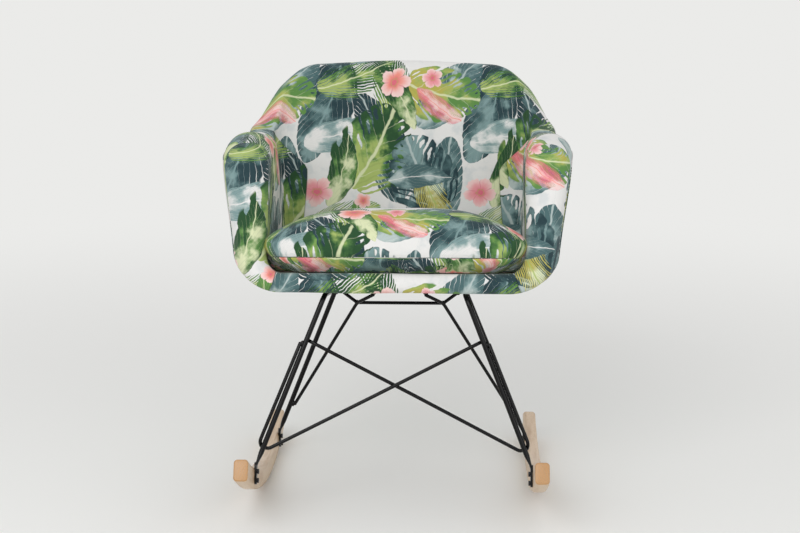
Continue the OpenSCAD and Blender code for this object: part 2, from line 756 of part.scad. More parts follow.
// Each ring: [share of the plan's size, share of the height between the seam and the ring's side]
top_rings_share = [[1, 0], [0.992, 0.2], [0.965, 0.4], [0.91, 0.6], [0.8, 0.78], [0.62, 0.9], [0.4, 0.97], [0.18, 1]];
low_rings_share = [[1, 0], [0.985, 0.32], [0.95, 0.62], [0.88, 0.88], [0.77, 1], [0.4, 1], [0.15, 1]];
side_draw_share = 0.022;
function cushion_ring(ring, span, inset) = [for (k = [0 : cushion_sectors - 1]) let (
    a = 360 * k / cushion_sectors,
    p = cushion_plan(a, inset),
    draw = 1 - side_draw_share * (1 - pow(abs(sin(2 * a)), 0.7))
) [p[0] * ring[0] * draw, p[1] * ring[0] * draw, seam_height + span * ring[1]]];
function cushion_top(inset) = [for (r = top_rings_share) for (p = cushion_ring(r, cushion_height - seam_height - inset, inset)) p];
function cushion_low(inset) = [for (r = low_rings_share) for (p = cushion_ring(r, -(seam_height - inset), inset)) p];

function disc_faces(rings, sectors, base, flip) = [for (f = concat(
    [for (i = [0 : rings - 2]) for (k = [0 : sectors - 1])
        let (a = i * sectors + k, b = i * sectors + (k + 1) % sectors) [a, b, b + sectors]],
    [for (i = [0 : rings - 2]) for (k = [0 : sectors - 1])
        let (a = i * sectors + k, b = i * sectors + (k + 1) % sectors) [a, b + sectors, a + sectors]],
    [for (k = [1 : sectors - 2]) let (m = (rings - 1) * sectors) [m, m + k, m + k + 1]]
)) flip ? [f[2] + base, f[1] + base, f[0] + base] : [f[0] + base, f[1] + base, f[2] + base]];

module cushion_panel(outer, inner, rings, flip) {
    n = rings * cushion_sectors;
    rim = [for (k = [0 : cushion_sectors - 1]) let (b = (k + 1) % cushion_sectors)
        for (f = flip ? [[k, n + b, b], [k, n + k, n + b]] : [[k, b, n + b], [k, n + b, n + k]]) f];
    polyhedron(concat(outer, inner), concat(
        disc_faces(rings, cushion_sectors, 0, !flip),
        disc_faces(rings, cushion_sectors, n, flip),
        rim), convexity = 6);
}

// Stands a cushion on the seat, over its front edge
module on_seat() {
    translate(on_deck(0, -cushion_front + cushion_depth / 2, seat_half_thick + 2 * fit_gap))
        rotate([-seat_slope, 0, 0])
            children();
}

module cushion_top_cover() {
    color("seagreen")
        on_seat()
            cushion_panel(cushion_top(0), cushion_top(cover_thickness), len(top_rings_share), false);
}

module cushion_bottom_cover() {
    color("darkseagreen")
        on_seat()
            cushion_panel(cushion_low(0), cushion_low(cover_thickness), len(low_rings_share), true);
}

module cushion_foam() {
    inset = cover_thickness + fit_gap;
    top = cushion_top(inset);
    low = cushion_low(inset);
    low_count = len(low_rings_share);
    top_count = len(top_rings_share);
    body = concat(
        [for (i = [low_count - 1 : -1 : 1]) for (k = [0 : cushion_sectors - 1]) low[i * cushion_sectors + k]],
        top);
    color("khaki")
        on_seat()
            polyhedron(body, ring_faces(low_count - 1 + top_count, cushion_sectors), convexity = 6);
}

module cushion_zip() {
    color("dimgray")
        on_seat()
            translate([0, cushion_depth / 2 * (1 - side_draw_share / 2), seam_height])
                cube([cushion_width * 0.5, cover_thickness, seam_height / 5], center = true);
}

at_rest() mirror([1, 0, 0]) runner();  // left_runner
at_rest() runner();  // right_runner
at_rest() runner_screws();
at_rest() runner_inserts();
at_rest() mirror([1, 0, 0]) at_foot(-front_foot_angle) foot_tab();  // front_left_tab
at_rest() at_foot(-front_foot_angle) foot_tab();  // front_right_tab
at_rest() mirror([1, 0, 0]) at_foot(rear_foot_angle) foot_tab();  // rear_left_tab
at_rest() at_foot(rear_foot_angle) foot_tab();  // rear_right_tab
at_rest() mirror([1, 0, 0]) side_rod();  // left_side_rod
at_rest() side_rod();  // right_side_rod
at_rest() mirror([1, 0, 0]) front_brace(1);  // left_front_brace
at_rest() front_brace(-1);  // right_front_brace
at_rest() mirror([1, 0, 0]) rear_strut();  // left_rear_strut
at_rest() rear_strut();  // right_rear_strut
at_rest() rear_tie_bar();
at_rest() cross_rod();
at_rest() mounting_plates();
at_rest() seat_spacers();
at_rest() seat_screws();
at_rest() seat_washers();
at_rest() tee_nuts();
at_rest() tub_core();
at_rest() outer_padding();
at_rest() inner_padding();
at_rest() outside_cover();
at_rest() inside_cover();
at_rest() underside_cloth();
at_rest() cushion_foam();
at_rest() cushion_top_cover();
at_rest() cushion_bottom_cover();
at_rest() cushion_zip();
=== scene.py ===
"""Rocking tub chair: a printed tub and loose cushion on a black rod base with beech runners."""
import math
from contextlib import contextmanager
from functools import partialmethod
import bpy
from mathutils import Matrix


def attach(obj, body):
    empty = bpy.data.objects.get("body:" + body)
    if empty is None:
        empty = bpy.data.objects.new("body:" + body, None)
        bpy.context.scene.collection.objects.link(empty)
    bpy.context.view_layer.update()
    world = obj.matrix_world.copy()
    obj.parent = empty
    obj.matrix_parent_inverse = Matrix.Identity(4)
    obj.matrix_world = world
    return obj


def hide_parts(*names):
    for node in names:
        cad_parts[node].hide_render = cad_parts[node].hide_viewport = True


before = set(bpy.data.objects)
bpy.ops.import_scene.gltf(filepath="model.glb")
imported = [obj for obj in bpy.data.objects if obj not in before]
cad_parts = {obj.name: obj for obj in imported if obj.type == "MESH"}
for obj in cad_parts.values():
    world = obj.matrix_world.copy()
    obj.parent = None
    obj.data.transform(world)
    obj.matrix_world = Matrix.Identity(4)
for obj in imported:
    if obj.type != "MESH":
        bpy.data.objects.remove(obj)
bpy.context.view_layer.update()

from types import SimpleNamespace

import bmesh
import bpy
import numpy as np
from bpy.props import FloatProperty, FloatVectorProperty, IntProperty, PointerProperty
from mathutils import Vector
from mathutils.bvhtree import BVHTree

bl_info = {
    "name": "Rocking tub chair",
    "version": (1, 0, 0),
    "blender": (4, 5, 0),
    "location": "3D View > Sidebar > Chair",
    "description": "Builds a printed tub chair with a loose cushion on a rod base and wooden runners",
    "category": "Object",
}

MM = 0.001
CHAIR = "chair"
CUSHION = "seat_cushion"
TINY = 1e-9


def length(label, value, text):
    return FloatProperty(name=label, description=text, default=value * MM, unit="LENGTH", precision=5)


def angle(label, degrees, text):
    return FloatProperty(name=label, description=text, default=math.radians(degrees), unit="ROTATION")


def share(label, value, text):
    return FloatProperty(name=label, description=text, default=value, subtype="FACTOR", min=0, max=2)


def colour(label, rgb, text):
    """rgb is written as it shows on a screen, from 0 to 255, and is kept by the sRGB curve as linear light."""
    linear = [((c / 255 + 0.055) / 1.055) ** 2.4 if c > 10 else c / 255 / 12.92 for c in rgb]
    return FloatVectorProperty(name=label, description=text, default=linear, subtype="COLOR", size=3,
                               min=0, max=1)


# ---------------------------------------------------------------- sizes and colours a user would change


class ChairBaseSizes(bpy.types.PropertyGroup):
    """Sizes of the runners and rods, the same as in the solids"""

    rest_lean: angle("Rest lean", 7.8, "Angle that the empty chair leans back by")
    runner_radius: length("Runner radius", 1020, "Radius of the curved underside")
    runner_half_angle: angle("Runner half angle", 20, "Half of the angle that a runner spans")
    runner_height: length("Runner height", 41, "Height of the wood")
    runner_thickness: length("Runner thickness", 27, "Thickness of the wood")
    runner_spacing: length("Runner spacing", 552, "Distance between the middles of the runners")
    runner_edge: length("Runner edge", 7, "Rounding of the long edges")
    runner_end_edge: length("Runner end edge", 2.6, "Rounding of the sawn ends")
    leg_d: length("Leg rod", 10, "Diameter of the leg rods")
    wire_d: length("Wire", 7, "Diameter of the bracing wire")
    front_foot_angle: angle("Front foot", 13.5, "Angle on the runner of the front feet")
    rear_foot_angle: angle("Rear foot", 13, "Angle on the runner of the rear feet")
    rail_spacing: length("Rail spacing", 268, "Distance between the rails under the seat")
    rail_front: length("Rail front", 186, "Place of the rail's front bend")
    rail_rear: length("Rail rear", 122, "Place of the rail's rear bend")
    rod_bend: length("Rod bend", 26, "Bending radius of the leg rods")
    wire_bend: length("Wire bend", 14, "Bending radius of the wire")
    brace_share: share("Brace joint", 0.73, "Share of the leg's length at which the brace joins it")
    loop_height: length("Loop height", 84, "Height of the brace's loop")
    tie_width: length("Tie width", 178, "Distance between the tie bar's corners")
    tie_drop: length("Tie drop", 27, "Drop of the tie bar below the rails")
    tab_thickness: length("Tab thickness", 5, "Thickness of a foot tab")
    tab_width: length("Tab width", 16, "Width of a foot tab")
    tab_length: length("Tab length", 42, "Length of a foot tab")
    tab_inset: length("Tab inset", 8, "Height of the tab's lower end over the underside")
    pocket_depth: length("Pocket", 1, "Depth of the pocket that a tab sits in")
    strut_foot_rise: length("Strut foot", 65, "Height of the strut's foot on the rear leg")
    strut_spread_share: share("Strut spread", 0.6, "Share of the tie's half width at the strut's top")
    weld_radius: length("Weld", 5.4, "Size of a weld bead")


class ChairTubSizes(bpy.types.PropertyGroup):
    """Sizes of the padded tub, the same as in the solids apart from the cover's own at the end"""

    seat_front: length("Seat front", 207, "Place of the seat's front edge")
    seat_height: length("Seat height", 415.5, "Height of the seat's edge")
    seat_slope: angle("Seat slope", 2.2, "Slope of the seat towards the back")
    seat_depth: length("Seat depth", 442, "Depth of the seat")
    back_length: length("Back length", 454, "Length of the back")
    back_lean: angle("Back lean", 12.5, "Lean of the back")
    heel_radius: length("Heel radius", 100, "Radius between the seat and the back")
    side_radius: length("Side radius", 55, "Radius between the seat and the arms")
    wing_radius: length("Wing radius", 84, "Radius between the back and its side edges")
    arm_height: length("Arm height", 703, "Height of the arms' middle")
    arm_half: length("Arm half width", 299, "Half width between the arms' middles")
    arm_half_thick: length("Arm half thickness", 46, "Half thickness at the arm's top")
    arm_low_half_thick: length("Low arm half thickness", 31, "Half thickness beside the seat")
    back_half_thick: length("Back half thickness", 26, "Half thickness of the back")
    seat_half_thick: length("Seat half thickness", 19, "Half thickness of the seat")
    under_half_thick: length("Under half thickness", 12, "Half thickness under the seat")
    arm_setback: length("Arm setback", 70, "Setback of the arm fronts")
    arm_fall: length("Arm fall", 32, "Fall of the arm's top towards its front")
    wing_depth: length("Wing depth", 106, "Reach of the back's side edge")
    wing_top_depth: length("Wing top depth", 17, "Reach of the side edge at the top")
    crown_height: length("Crown", 18, "Rise of the top edge at its middle")
    corner_width: length("Corner width", 108, "Width of a round top corner")
    corner_height: length("Corner height", 180, "Height of a round top corner")
    seam_inset: length("Seam inset", 34, "Distance of the outside panel's seam from the rim")
    seam_radius: length("Seam radius", 1.7, "Radius of the sewn edge")
    pucker: length("Pucker", 0.9, "Depth of the cover's soft unevenness")
    crown_swell: length("Crown swell", 5, "Swell of the padding at the middle of the top edge")
    shoulder_swell: length("Shoulder swell", 8, "Swell of the padding at the back's two shoulders")


class ChairCushionSizes(bpy.types.PropertyGroup):
    """Sizes of the loose cushion, its cover and its cloth simulation"""

    width: length("Width", 500, "Width of the cushion")
    depth: length("Depth", 386, "Depth of the cushion")
    height: length("Height", 124, "Thickness at the middle")
    seam_height: length("Seam height", 30, "Height of the seam")
    setback: length("Setback", 1, "Setback from the seat's front edge")
    clearance: length("Clearance", 0.6, "Room under the cushion")
    taper: share("Taper", 0.83, "Share of the width that is left at the back")
    voxel: length("Voxel", 5.5, "Mesh size of the cloth simulation")
    swell_cap: length("Swell cap", 7, "Furthest that the simulation may move the cover")
    pressure: FloatProperty(name="Pressure", description="Pressure of the filling", default=4.0)
    sim_frames: IntProperty(name="Frames", description="Steps of the simulation", default=18)
    groove: length("Groove", 2.2, "Depth of the seam's groove")
    cord_radius: length("Seam cord", 0.9, "Radius of the sewn edge")


class ChairColours(bpy.types.PropertyGroup):
    """Colours of the cover, wood and metal"""

    ground: colour("Ground", (233, 232, 230), "The cloth's own colour")
    ground_shade: colour("Ground shade", (216, 219, 219), "Washes on the cloth's own colour")
    night: colour("Night green", (38, 62, 68), "Darkest leaves")
    teal: colour("Teal", (76, 106, 108), "Dark leaves")
    slate: colour("Slate", (128, 156, 156), "Grey leaves")
    mist: colour("Mist", (186, 200, 198), "Pale grey leaves")
    forest: colour("Forest", (40, 78, 46), "Dark green leaves")
    grass: colour("Grass", (96, 142, 74), "Green leaves")
    lime: colour("Lime", (170, 188, 108), "Yellow-green leaves")
    olive: colour("Olive", (186, 178, 88), "Olive leaves")
    cream: colour("Cream", (222, 228, 186), "Veins and light edges")
    rose: colour("Rose", (240, 158, 164), "Blossoms")
    coral: colour("Coral", (242, 146, 130), "Warm blossoms")
    magenta: colour("Magenta", (224, 108, 130), "Blossom hearts")
    blush: colour("Blush", (248, 214, 210), "Pale blossoms")
    wood: colour("Beech", (206, 178, 144), "Varnished wood")
    wood_dark: colour("Beech figure", (176, 140, 102), "Grain and flecks")
    wood_end: colour("End grain", (186, 138, 84), "Sawn ends")
    steel_black: colour("Black lacquer", (5, 5, 6), "Rods and tabs")
    floor: colour("Floor", (246, 246, 244), "Floor and backdrop")


class ChairPrint(bpy.types.PropertyGroup):
    """Scale of the print and cloth"""

    repeat_x: length("Repeat across", 350, "Width of one repeat of the print")
    repeat_y: length("Repeat up", 440, "Height of one repeat of the print")
    thread: length("Thread", 0.9, "Pitch of the weave")
    back_shift: share("Outside shift", 0.37, "Shift of the print on the outside panel, in repeats")


class ChairStage(bpy.types.PropertyGroup):
    """Camera and light"""

    camera_place: FloatVectorProperty(name="Camera", description="Place of the camera", size=3,
                                      subtype="TRANSLATION", default=(0.1264, -3.6378, 1.150))
    camera_turn: angle("Camera turn", 1.99, "Turn of the camera about the vertical")
    camera_dip: angle("Camera dip", 11.25, "Dip of the camera below the level")
    lens: FloatProperty(name="Lens", description="Focal length in millimetres", default=81.553)
    world_light: FloatProperty(name="World light", description="Strength of the even light", default=0.62)
    key_light: FloatProperty(name="Key light", description="Power of the large lamp", default=62.0)
    fill_light: FloatProperty(name="Fill light", description="Power of the fill lamp", default=21.0)


def settings():
    return bpy.context.scene.chair_settings


class Sizes:
    """The lengths of a property group in millimetres, and its other values as they are."""

    def __init__(self, group):
        for key in group.__annotations__:
            value = getattr(group, key)
            unit = group.bl_rna.properties[key].unit
            setattr(self, key, value / MM if unit == "LENGTH" else value)


# ---------------------------------------------------------------- small geometry helpers


def unit(v):
    return v / np.linalg.norm(v, axis=-1, keepdims=True)


def lerp(a, b, t):
    return a + (b - a) * t


def smooth(t):
    t = np.clip(t, 0, 1)
    return t * t * (3 - 2 * t)


def at_rest(points, base):
    """Leans level points back to where the chair rests, and turns millimetres into metres."""
    p = np.asarray(points, float)
    c, s = math.cos(base.rest_lean), math.sin(base.rest_lean)
    y, z = p[..., 1], p[..., 2] - base.runner_radius
    return np.stack([p[..., 0], c * y + s * z, -s * y + c * z + base.runner_radius], -1) * MM


def cloth_map(mesh, uv):
    """Gives a mesh its one map: millimetres on the cloth, or along a bar and round it."""
    mesh.uv_layers.new(name="cloth").data.foreach_set("uv", np.asarray(uv, np.float32).ravel())


def make_object(name, vertices, faces, body, materials, uv, material_index=None):
    mesh = bpy.data.meshes.new(name)
    mesh.from_pydata([tuple(v) for v in vertices], [], [tuple(int(i) for i in f) for f in faces])
    cloth_map(mesh, uv)
    mesh.polygons.foreach_set("use_smooth", [True] * len(mesh.polygons))
    if material_index is not None:
        mesh.polygons.foreach_set("material_index", material_index)
    for material in materials:
        mesh.materials.append(material)
    mesh.update()
    piece = bpy.data.objects.new(name, mesh)
    bpy.context.scene.collection.objects.link(piece)
    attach(piece, body)
    return piece


SEAM_ZERO = 500  # a piece without the value reads 0, so distances past a seam are stored this much larger


def mark_seam(piece, distances):
    """Stores each vertex's distance in millimetres past a seam, for the cover's finish: the print's shift on the
    arms, the seam's dip and its painted shade.
    """
    past_seam = piece.data.attributes.new("past_seam", "FLOAT", "POINT")
    past_seam.data.foreach_set("value", (np.asarray(distances) + SEAM_ZERO).astype(np.float32))


def path_lengths(points):
    """The distance of each point of a path from its start."""
    return np.concatenate([[0], np.cumsum(np.linalg.norm(np.diff(points, axis=0), axis=1))])


def rounded(points, radius, steps):
    """Rounds the inner corners of a path with short curves, as the solids do."""
    points = [np.asarray(p, float) for p in points]
    out = [points[0]]
    for before_point, corner, after_point in zip(points, points[1:], points[2:]):
        to_before, to_after = before_point - corner, after_point - corner
        before, after = unit(to_before), unit(to_after)
        turn = math.pi - math.acos(float(np.clip(before @ after, -1, 1)))
        room = 0.45 * min(np.linalg.norm(to_before), np.linalg.norm(to_after))
        cut = min(room, radius * math.tan(turn / 2))
        a, b = corner + before * cut, corner + after * cut
        for k in range(steps + 1):
            t = k / steps
            out.append((1 - t) ** 2 * a + 2 * t * (1 - t) * corner + t * t * b)
    out.append(points[-1])
    return np.array(out)


def dense(path, step):
    """Adds points to the long runs of a path, so that a section may change along it."""
    out = [path[0]]
    for a, b in zip(path, path[1:]):
        n = max(1, int(np.linalg.norm(b - a) / step))
        out += [a + (b - a) * k / n for k in range(1, n + 1)]
    return np.array(out)


def tube_faces(rows, around):
    """The faces of a closed tube made of rings, row by row, and then its two end caps."""
    faces = [(i * around + k, i * around + m, (i + 1) * around + m, (i + 1) * around + k)
             for i in range(rows - 1) for k, m in zip(range(around), [*range(1, around), 0])]
    first_cap = tuple(range(around))[::-1]
    return faces + [first_cap, tuple((rows - 1) * around + k for k in range(around))]


def tube_map(along, turns):
    """The map of those faces: each ring's place along the tube, and each vertex's place round it."""
    uv = []
    for a, b in zip(along, along[1:]):
        for low, high in zip(turns, turns[1:]):
            uv += [(a, low), (a, high), (b, high), (b, low)]
    around = len(turns) - 1
    return uv + [(along[0], 0)] * around + [(along[-1], 0)] * around


def end_rings(centre, outwards, size):
    """Three shrinking rings that round a bar's end off, from the bar outwards."""
    for part in (0.35, 0.7, 1.0):
        turn = part * math.pi / 2
        yield centre + outwards * size.min() * 0.45 * math.sin(turn), size * math.cos(turn * 0.93)


def sweep(path, radii, sides, across=None, round_ends=True):
    """A closed bar along a path. Each point's section is an ellipse, and radii holds its two half widths. The
    first lies along across, or along a way that turns as little as it can. Gives vertices, faces and their map."""
    path = np.asarray(path, float)
    radii = np.asarray(radii, float)
    tangent = unit(np.gradient(path, axis=0))
    if across is None:
        steady = (0, 1, 0) if abs(tangent[0][1]) < 0.9 else (1, 0, 0)
        way = np.cross(tangent[0], np.asarray(steady, float))
    else:
        way = across = np.asarray(across, float)
    frames = []
    for t in tangent:
        kept = way if across is None else across
        way = unit(kept - (kept @ t) * t)
        frames.append((way, np.cross(t, way)))
    rings = list(zip(path, radii, frames))
    if round_ends:
        start = [(*ring, frames[0]) for ring in end_rings(path[0], -tangent[0], radii[0])]
        end = [(*ring, frames[-1]) for ring in end_rings(path[-1], tangent[-1], radii[-1])]
        rings = start[::-1] + rings + end
    turns = np.arange(sides) * 2 * math.pi / sides
    vertices = np.concatenate([centre + np.outer(np.cos(turns), first) * half[0]
                               + np.outer(np.sin(turns), second) * half[1]
                               for centre, half, (first, second) in rings])
    along = path_lengths(np.array([ring[0] for ring in rings]))
    return vertices, tube_faces(len(rings), sides), tube_map(along, [k / sides for k in range(sides + 1)])


def joined(parts):
    """Joins (vertices, faces, uv) parts into one."""
    vertices, faces, uv, start = [], [], [], 0
    for v, f, u in parts:
        vertices.append(v)
        faces += [tuple(i + start for i in face) for face in f]
        uv += list(u)
        start += len(v)
    return np.concatenate(vertices), faces, uv


# ---------------------------------------------------------------- the tub's sheet, as in the solids


class TubSheet:
    """The tub is a sheet: its middle runs from the front edge over the seat and up the back, and each row of it
    is a flat-bottomed U whose ends lie on the rim. v runs from the front edge to the top, s from -1 to 1 across.
    Lengths are in millimetres, and turns in radians."""

    edge_power = 2.1                     # roundness of the padded edges, where 2 is a circle
    back_start, back_blend = 0.42, 0.34  # v at which the back's thickness starts, and the run it takes
    flare = 0.056                        # how far the arms lean out
    # the padding's swell is laid out round a point this far below the arms' top: the crown's spread as a turn round
    # it, the shoulders' place and spread, the distance and turn at which the swell starts, and how far ahead of the
    # back it fades
    pivot_drop = 140
    crown_spread = 0.55
    shoulder_turn, shoulder_spread = 0.66, 0.3
    swell_from, swell_turn = 110, 0.25
    swell_ahead, swell_fade = 60, 90
    # the arm's seam: its distance past the flat in corner radii, at the front and from seam_run on, and how far
    # before the arm's level it runs off over the rim
    seam_front, seam_rear, seam_run = 0.34, 0.08, 0.3
    seam_leave, seam_leave_run = 0.1, 0.13

    def __init__(self, sizes):
        self.__dict__.update(sizes.__dict__)
        slope, lean = sizes.seat_slope, sizes.back_lean
        self.deck_dir = np.array([math.cos(slope), -math.sin(slope)])
        self.deck_up = np.array([math.sin(slope), math.cos(slope)])
        self.back_dir = np.array([math.sin(lean), math.cos(lean)])
        self.turn = math.pi / 2 - lean + slope
        cut = self.heel_radius * math.tan(self.turn / 2)
        self.seat_run = self.seat_depth - cut
        self.heel_run = self.heel_radius * self.turn
        self.run = self.seat_run + self.heel_run + self.back_length - cut
        self.deck_start = np.array([-self.seat_front, self.seat_height])
        self.heel_end = self.deck_start + self.deck_dir * self.seat_depth + self.back_dir * cut
        self.back_top = self.heel_end + self.back_dir * (self.back_length - cut)
        climb = (self.arm_height - self.heel_end[1]) / self.back_dir[1]
        self.arm_level = (self.seat_run + self.heel_run + climb) / self.run
        self.rim_front_y = -self.seat_front + self.arm_setback
        self.rim_level_y = self.heel_end[0] + climb * self.back_dir[0] - self.wing_depth
        self.rim_run = np.linalg.norm(self.back_top - np.array([self.rim_front_y, self.arm_height])) * 1.1
        self.widest_y = -self.seat_front / 5

    def centre(self, v):
        d = v * self.run
        a = np.clip((d - self.seat_run) / self.heel_radius, 0, self.turn)
        return (self.deck_start + self.deck_dir * np.minimum(d, self.seat_run)[..., None]
                + self.deck_dir * (self.heel_radius * np.sin(a))[..., None]
                + self.deck_up * (self.heel_radius * (1 - np.cos(a)))[..., None]
                + self.back_dir * np.maximum(0, d - self.seat_run - self.heel_run)[..., None])

    def rim(self, v):
        c = self.centre(v)
        u = np.clip((v - self.arm_level) / (1 - self.arm_level), 0, 1)
        wing = lerp(self.wing_depth, self.wing_top_depth, 1 - (1 - u) ** 1.5)
        along_arm = lerp(self.rim_front_y, self.rim_level_y, v / self.arm_level)
        y = np.where(v < self.arm_level, along_arm, c[..., 0] - wing)
        fall_run, blend = 3 * self.arm_half_thick, self.side_radius * 0.73
        fall = self.arm_fall * np.clip((self.rim_front_y + fall_run - y) / fall_run, 0, 1) ** 2
        above = self.arm_height - fall - c[..., 1]
        lift = (above + np.sqrt(above * above + blend * blend)) / 2
        settle = blend * blend / 4 / (self.back_top[1] - self.arm_height) * u
        return np.stack([y, c[..., 1] + lift - settle], -1)

    def wall_x(self, y, z):
        front, back = self.arm_half_thick * 0.11, self.arm_half_thick * 0.28
        draw = np.where(y < self.widest_y,
                        front * ((self.widest_y - y) / (self.widest_y - self.rim_front_y)) ** 2,
                        back * ((y - self.widest_y) / (self.back_top[0] - self.widest_y)) ** 2)
        return self.arm_half - draw - self.flare * (self.arm_height - z)

    def back_part(self, v):
        return smooth((v - self.back_start) / self.back_blend)

    def radius(self, v):
        return lerp(self.side_radius, self.wing_radius, self.back_part(v))

    def row(self, v):
        """One row's middle, its place on the rim, the depth between them, the corner's bend, the half width of
        its flat, and its half length along the sheet."""
        c, g, r = self.centre(v), self.rim(v), self.radius(v)
        depth = np.linalg.norm(g - c, axis=-1)
        bend = np.arccos(np.clip(1 - depth / r, 0, 1))
        floor_x = self.wall_x(c[..., 0], c[..., 1]) - r * np.sin(bend)
        return c, g, depth, bend, floor_x, floor_x + r * bend + np.maximum(0, depth - r)

    def square(self, v, s):
        c, g, depth, bend, floor_x, reach = self.row(v)
        r = self.radius(v)
        a = np.abs(s) * reach
        turned = np.clip((a - floor_x) / r, 0, bend)
        flat_x = np.minimum(a, floor_x) + r * np.sin(turned)
        up = r * (1 - np.cos(turned)) + np.maximum(0, a - floor_x - r * bend)
        bow = self.back_half_thick * 0.6 * smooth(v * 2 - 0.9) * (flat_x / self.arm_half) ** 2
        p = c + (g - c) / depth[..., None] * (up + bow * (1 - np.clip(up / r, 0, 1)))[..., None]
        x = flat_x * self.wall_x(p[..., 0], p[..., 1]) / self.wall_x(c[..., 0], c[..., 1])
        return np.stack([np.sign(s) * x, p[..., 0], p[..., 1]], -1)

    def corner_shares(self, v, p):
        """How far a point lies into a round top corner, sideways and upwards."""
        side = np.clip(1 - (self.wall_x(p[..., 1], p[..., 2]) - np.abs(p[..., 0])) / self.corner_width, 0, 1)
        return side, np.clip(1 - (1 - v) * self.run / self.corner_height, 0, 1) + 0 * side

    def middle(self, v, s):
        p = self.square(v, s)
        side, top = self.corner_shares(v, p)
        x = np.abs(p[..., 0]) - side * self.corner_width * (1 - np.sqrt(1 - top * top / 2))
        fall = self.corner_height * top * (1 - np.sqrt(1 - side * side / 2))
        crown = self.crown_height * v ** 12 * (1 - (x / self.arm_half) ** 2)
        move = (crown - fall)[..., None] * self.back_dir
        return np.stack([np.sign(s) * x, p[..., 1] + move[..., 0], p[..., 2] + move[..., 1]], -1)

    def normal(self, v, s):
        """The square sheet's normal, tilted to lie across the edge where a corner is round."""
        probe = 0.004
        v0, v1 = np.clip(v - probe, 0, 1), np.clip(v + probe, 0, 1)
        s0, s1 = np.clip(s - probe, -1, 1), np.clip(s + probe, -1, 1)
        n = unit(np.cross(self.square(v, s1) - self.square(v, s0), self.square(v1, s) - self.square(v0, s)))
        side, top = self.corner_shares(v, self.square(v, s))
        across = side * np.sqrt(1 - top * top / 2) / self.corner_width
        along = top * np.sqrt(1 - side * side / 2) / self.corner_height
        tilt = np.where(across > 0, np.arctan2(along, np.maximum(across, TINY)) * side, 0)
        lift = -np.abs(n[..., 0]) * np.sin(tilt)
        return unit(np.stack([n[..., 0] * np.cos(tilt), n[..., 1] + lift * self.back_dir[0],
                              n[..., 2] + lift * self.back_dir[1]], -1))

    def wall_part(self, v, s):
        """0 on the seat, 1 on the wall of an arm."""
        *_, floor_x, reach = self.row(v)
        return smooth((np.abs(s) * reach - floor_x) / (self.side_radius * 1.6))

    def half_thick(self, v, s):
        z = self.middle(v, s)[..., 2]
        share_up = smooth((z - self.seat_height - self.side_radius / 2)
                          / (self.arm_height - self.seat_height - self.side_radius))
        arm = lerp(self.arm_low_half_thick, self.arm_half_thick, share_up)
        seat_or_arm = lerp(self.seat_half_thick, arm, self.wall_part(v, s))
        return lerp(seat_or_arm, self.back_half_thick, self.back_part(v))

    def edge_round(self, d, h):
        return (1 - (1 - np.clip(d / h, 0, 1)) ** self.edge_power) ** (1 / self.edge_power)

    def skin(self, v, s, side):
        """The cover on the inside (side 1) or the outside (-1): its points, the sheet's middle, normal and half
        thickness, and the shares of that thickness that the front edge and the other edges leave."""
        part = self.wall_part(v, s)
        run = lerp(self.run, self.rim_run, part)
        reach = self.row(v)[-1]
        half = self.half_thick(v, s)
        if side < 0:
            roll = 1.3 * self.seat_half_thick
            past_roll = smooth((v * self.run - roll / 2) / roll)
            half = half - ((self.seat_half_thick - self.under_half_thick) * past_roll
                           * (1 - part) * (1 - self.back_part(v)))
        front = self.edge_round(v * run, half)
        rest = self.edge_round((1 - v) * run, half) * self.edge_round((1 - np.abs(s)) * reach, half)
        middle, normal = self.middle(v, s), self.normal(v, s)
        point = self.fuller(middle + normal * (side * half * front * rest)[..., None])
        return SimpleNamespace(point=point, middle=middle, normal=normal, half=half, front=front, rest=rest)

    def back_y(self, z):
        """Where the back's middle stands at a height."""
        return self.heel_end[0] + (z - self.heel_end[1]) * self.back_dir[0] / self.back_dir[1]

    def fuller(self, p):
        """The padding's swell along the top edge, outwards in the plane of the back."""
        x, z = np.abs(p[..., 0]), p[..., 2]
        up = (z - self.arm_height + self.pivot_drop) / self.back_dir[1]
        ahead = self.back_y(z) - p[..., 1]
        reach = np.maximum(np.hypot(x, up), 1)
        turn = np.arctan2(up, x)
        swell = (self.crown_swell * np.exp(-((turn - math.pi / 2) / self.crown_spread) ** 2)
                 + self.shoulder_swell * np.exp(-((turn - self.shoulder_turn) / self.shoulder_spread) ** 2))
        swell = (swell * smooth((reach - self.swell_from) / self.swell_from)
                 * smooth((turn - self.swell_turn) / self.swell_turn)
                 * (1 - smooth((ahead - self.swell_ahead) / self.swell_fade)))
        way = np.stack([p[..., 0], up * self.back_dir[0], up * self.back_dir[1]], -1) / reach[..., None]
        return p + way * swell[..., None]

    def arm_seam(self, v, s):
        """Distance past the seam that joins an arm's panel to the back's and the seat's, along the cover."""
        *_, floor_x, reach = self.row(v)
        low = floor_x + self.radius(v) * lerp(self.seam_front, self.seam_rear, smooth(v / self.seam_run))
        leave = smooth((v - self.arm_level + self.seam_leave) / self.seam_leave_run)
        past_rim = reach + 40
        return np.abs(s) * reach - lerp(low, past_rim, leave)


def edge_dense(count, near, steps):
    """Places from 0 to 1 that crowd towards 0 within the first share, near."""
    start = near * (np.arange(steps) / steps) ** 2
    return np.concatenate([start, np.linspace(near, 1, count - steps + 1)])


def cloth_noise(points, scale, seed):
    """Smooth, seeded unevenness between about -1 and 1, from nine crossing waves, each bent by a longer one."""
    draw = np.random.default_rng(seed)
    total = 0
    for _ in range(9):
        way = unit(draw.normal(size=3))
        pitch = scale * draw.uniform(0.7, 1.8)
        wave = points @ way * 2 * math.pi / pitch + draw.uniform(0, 2 * math.pi)
        bend = 0.8 * np.sin(points @ np.roll(way, 1) * 2 * math.pi / pitch / 1.7)
        total = total + np.sin(wave + bend)
    return total / 4


# ---------------------------------------------------------------- materials


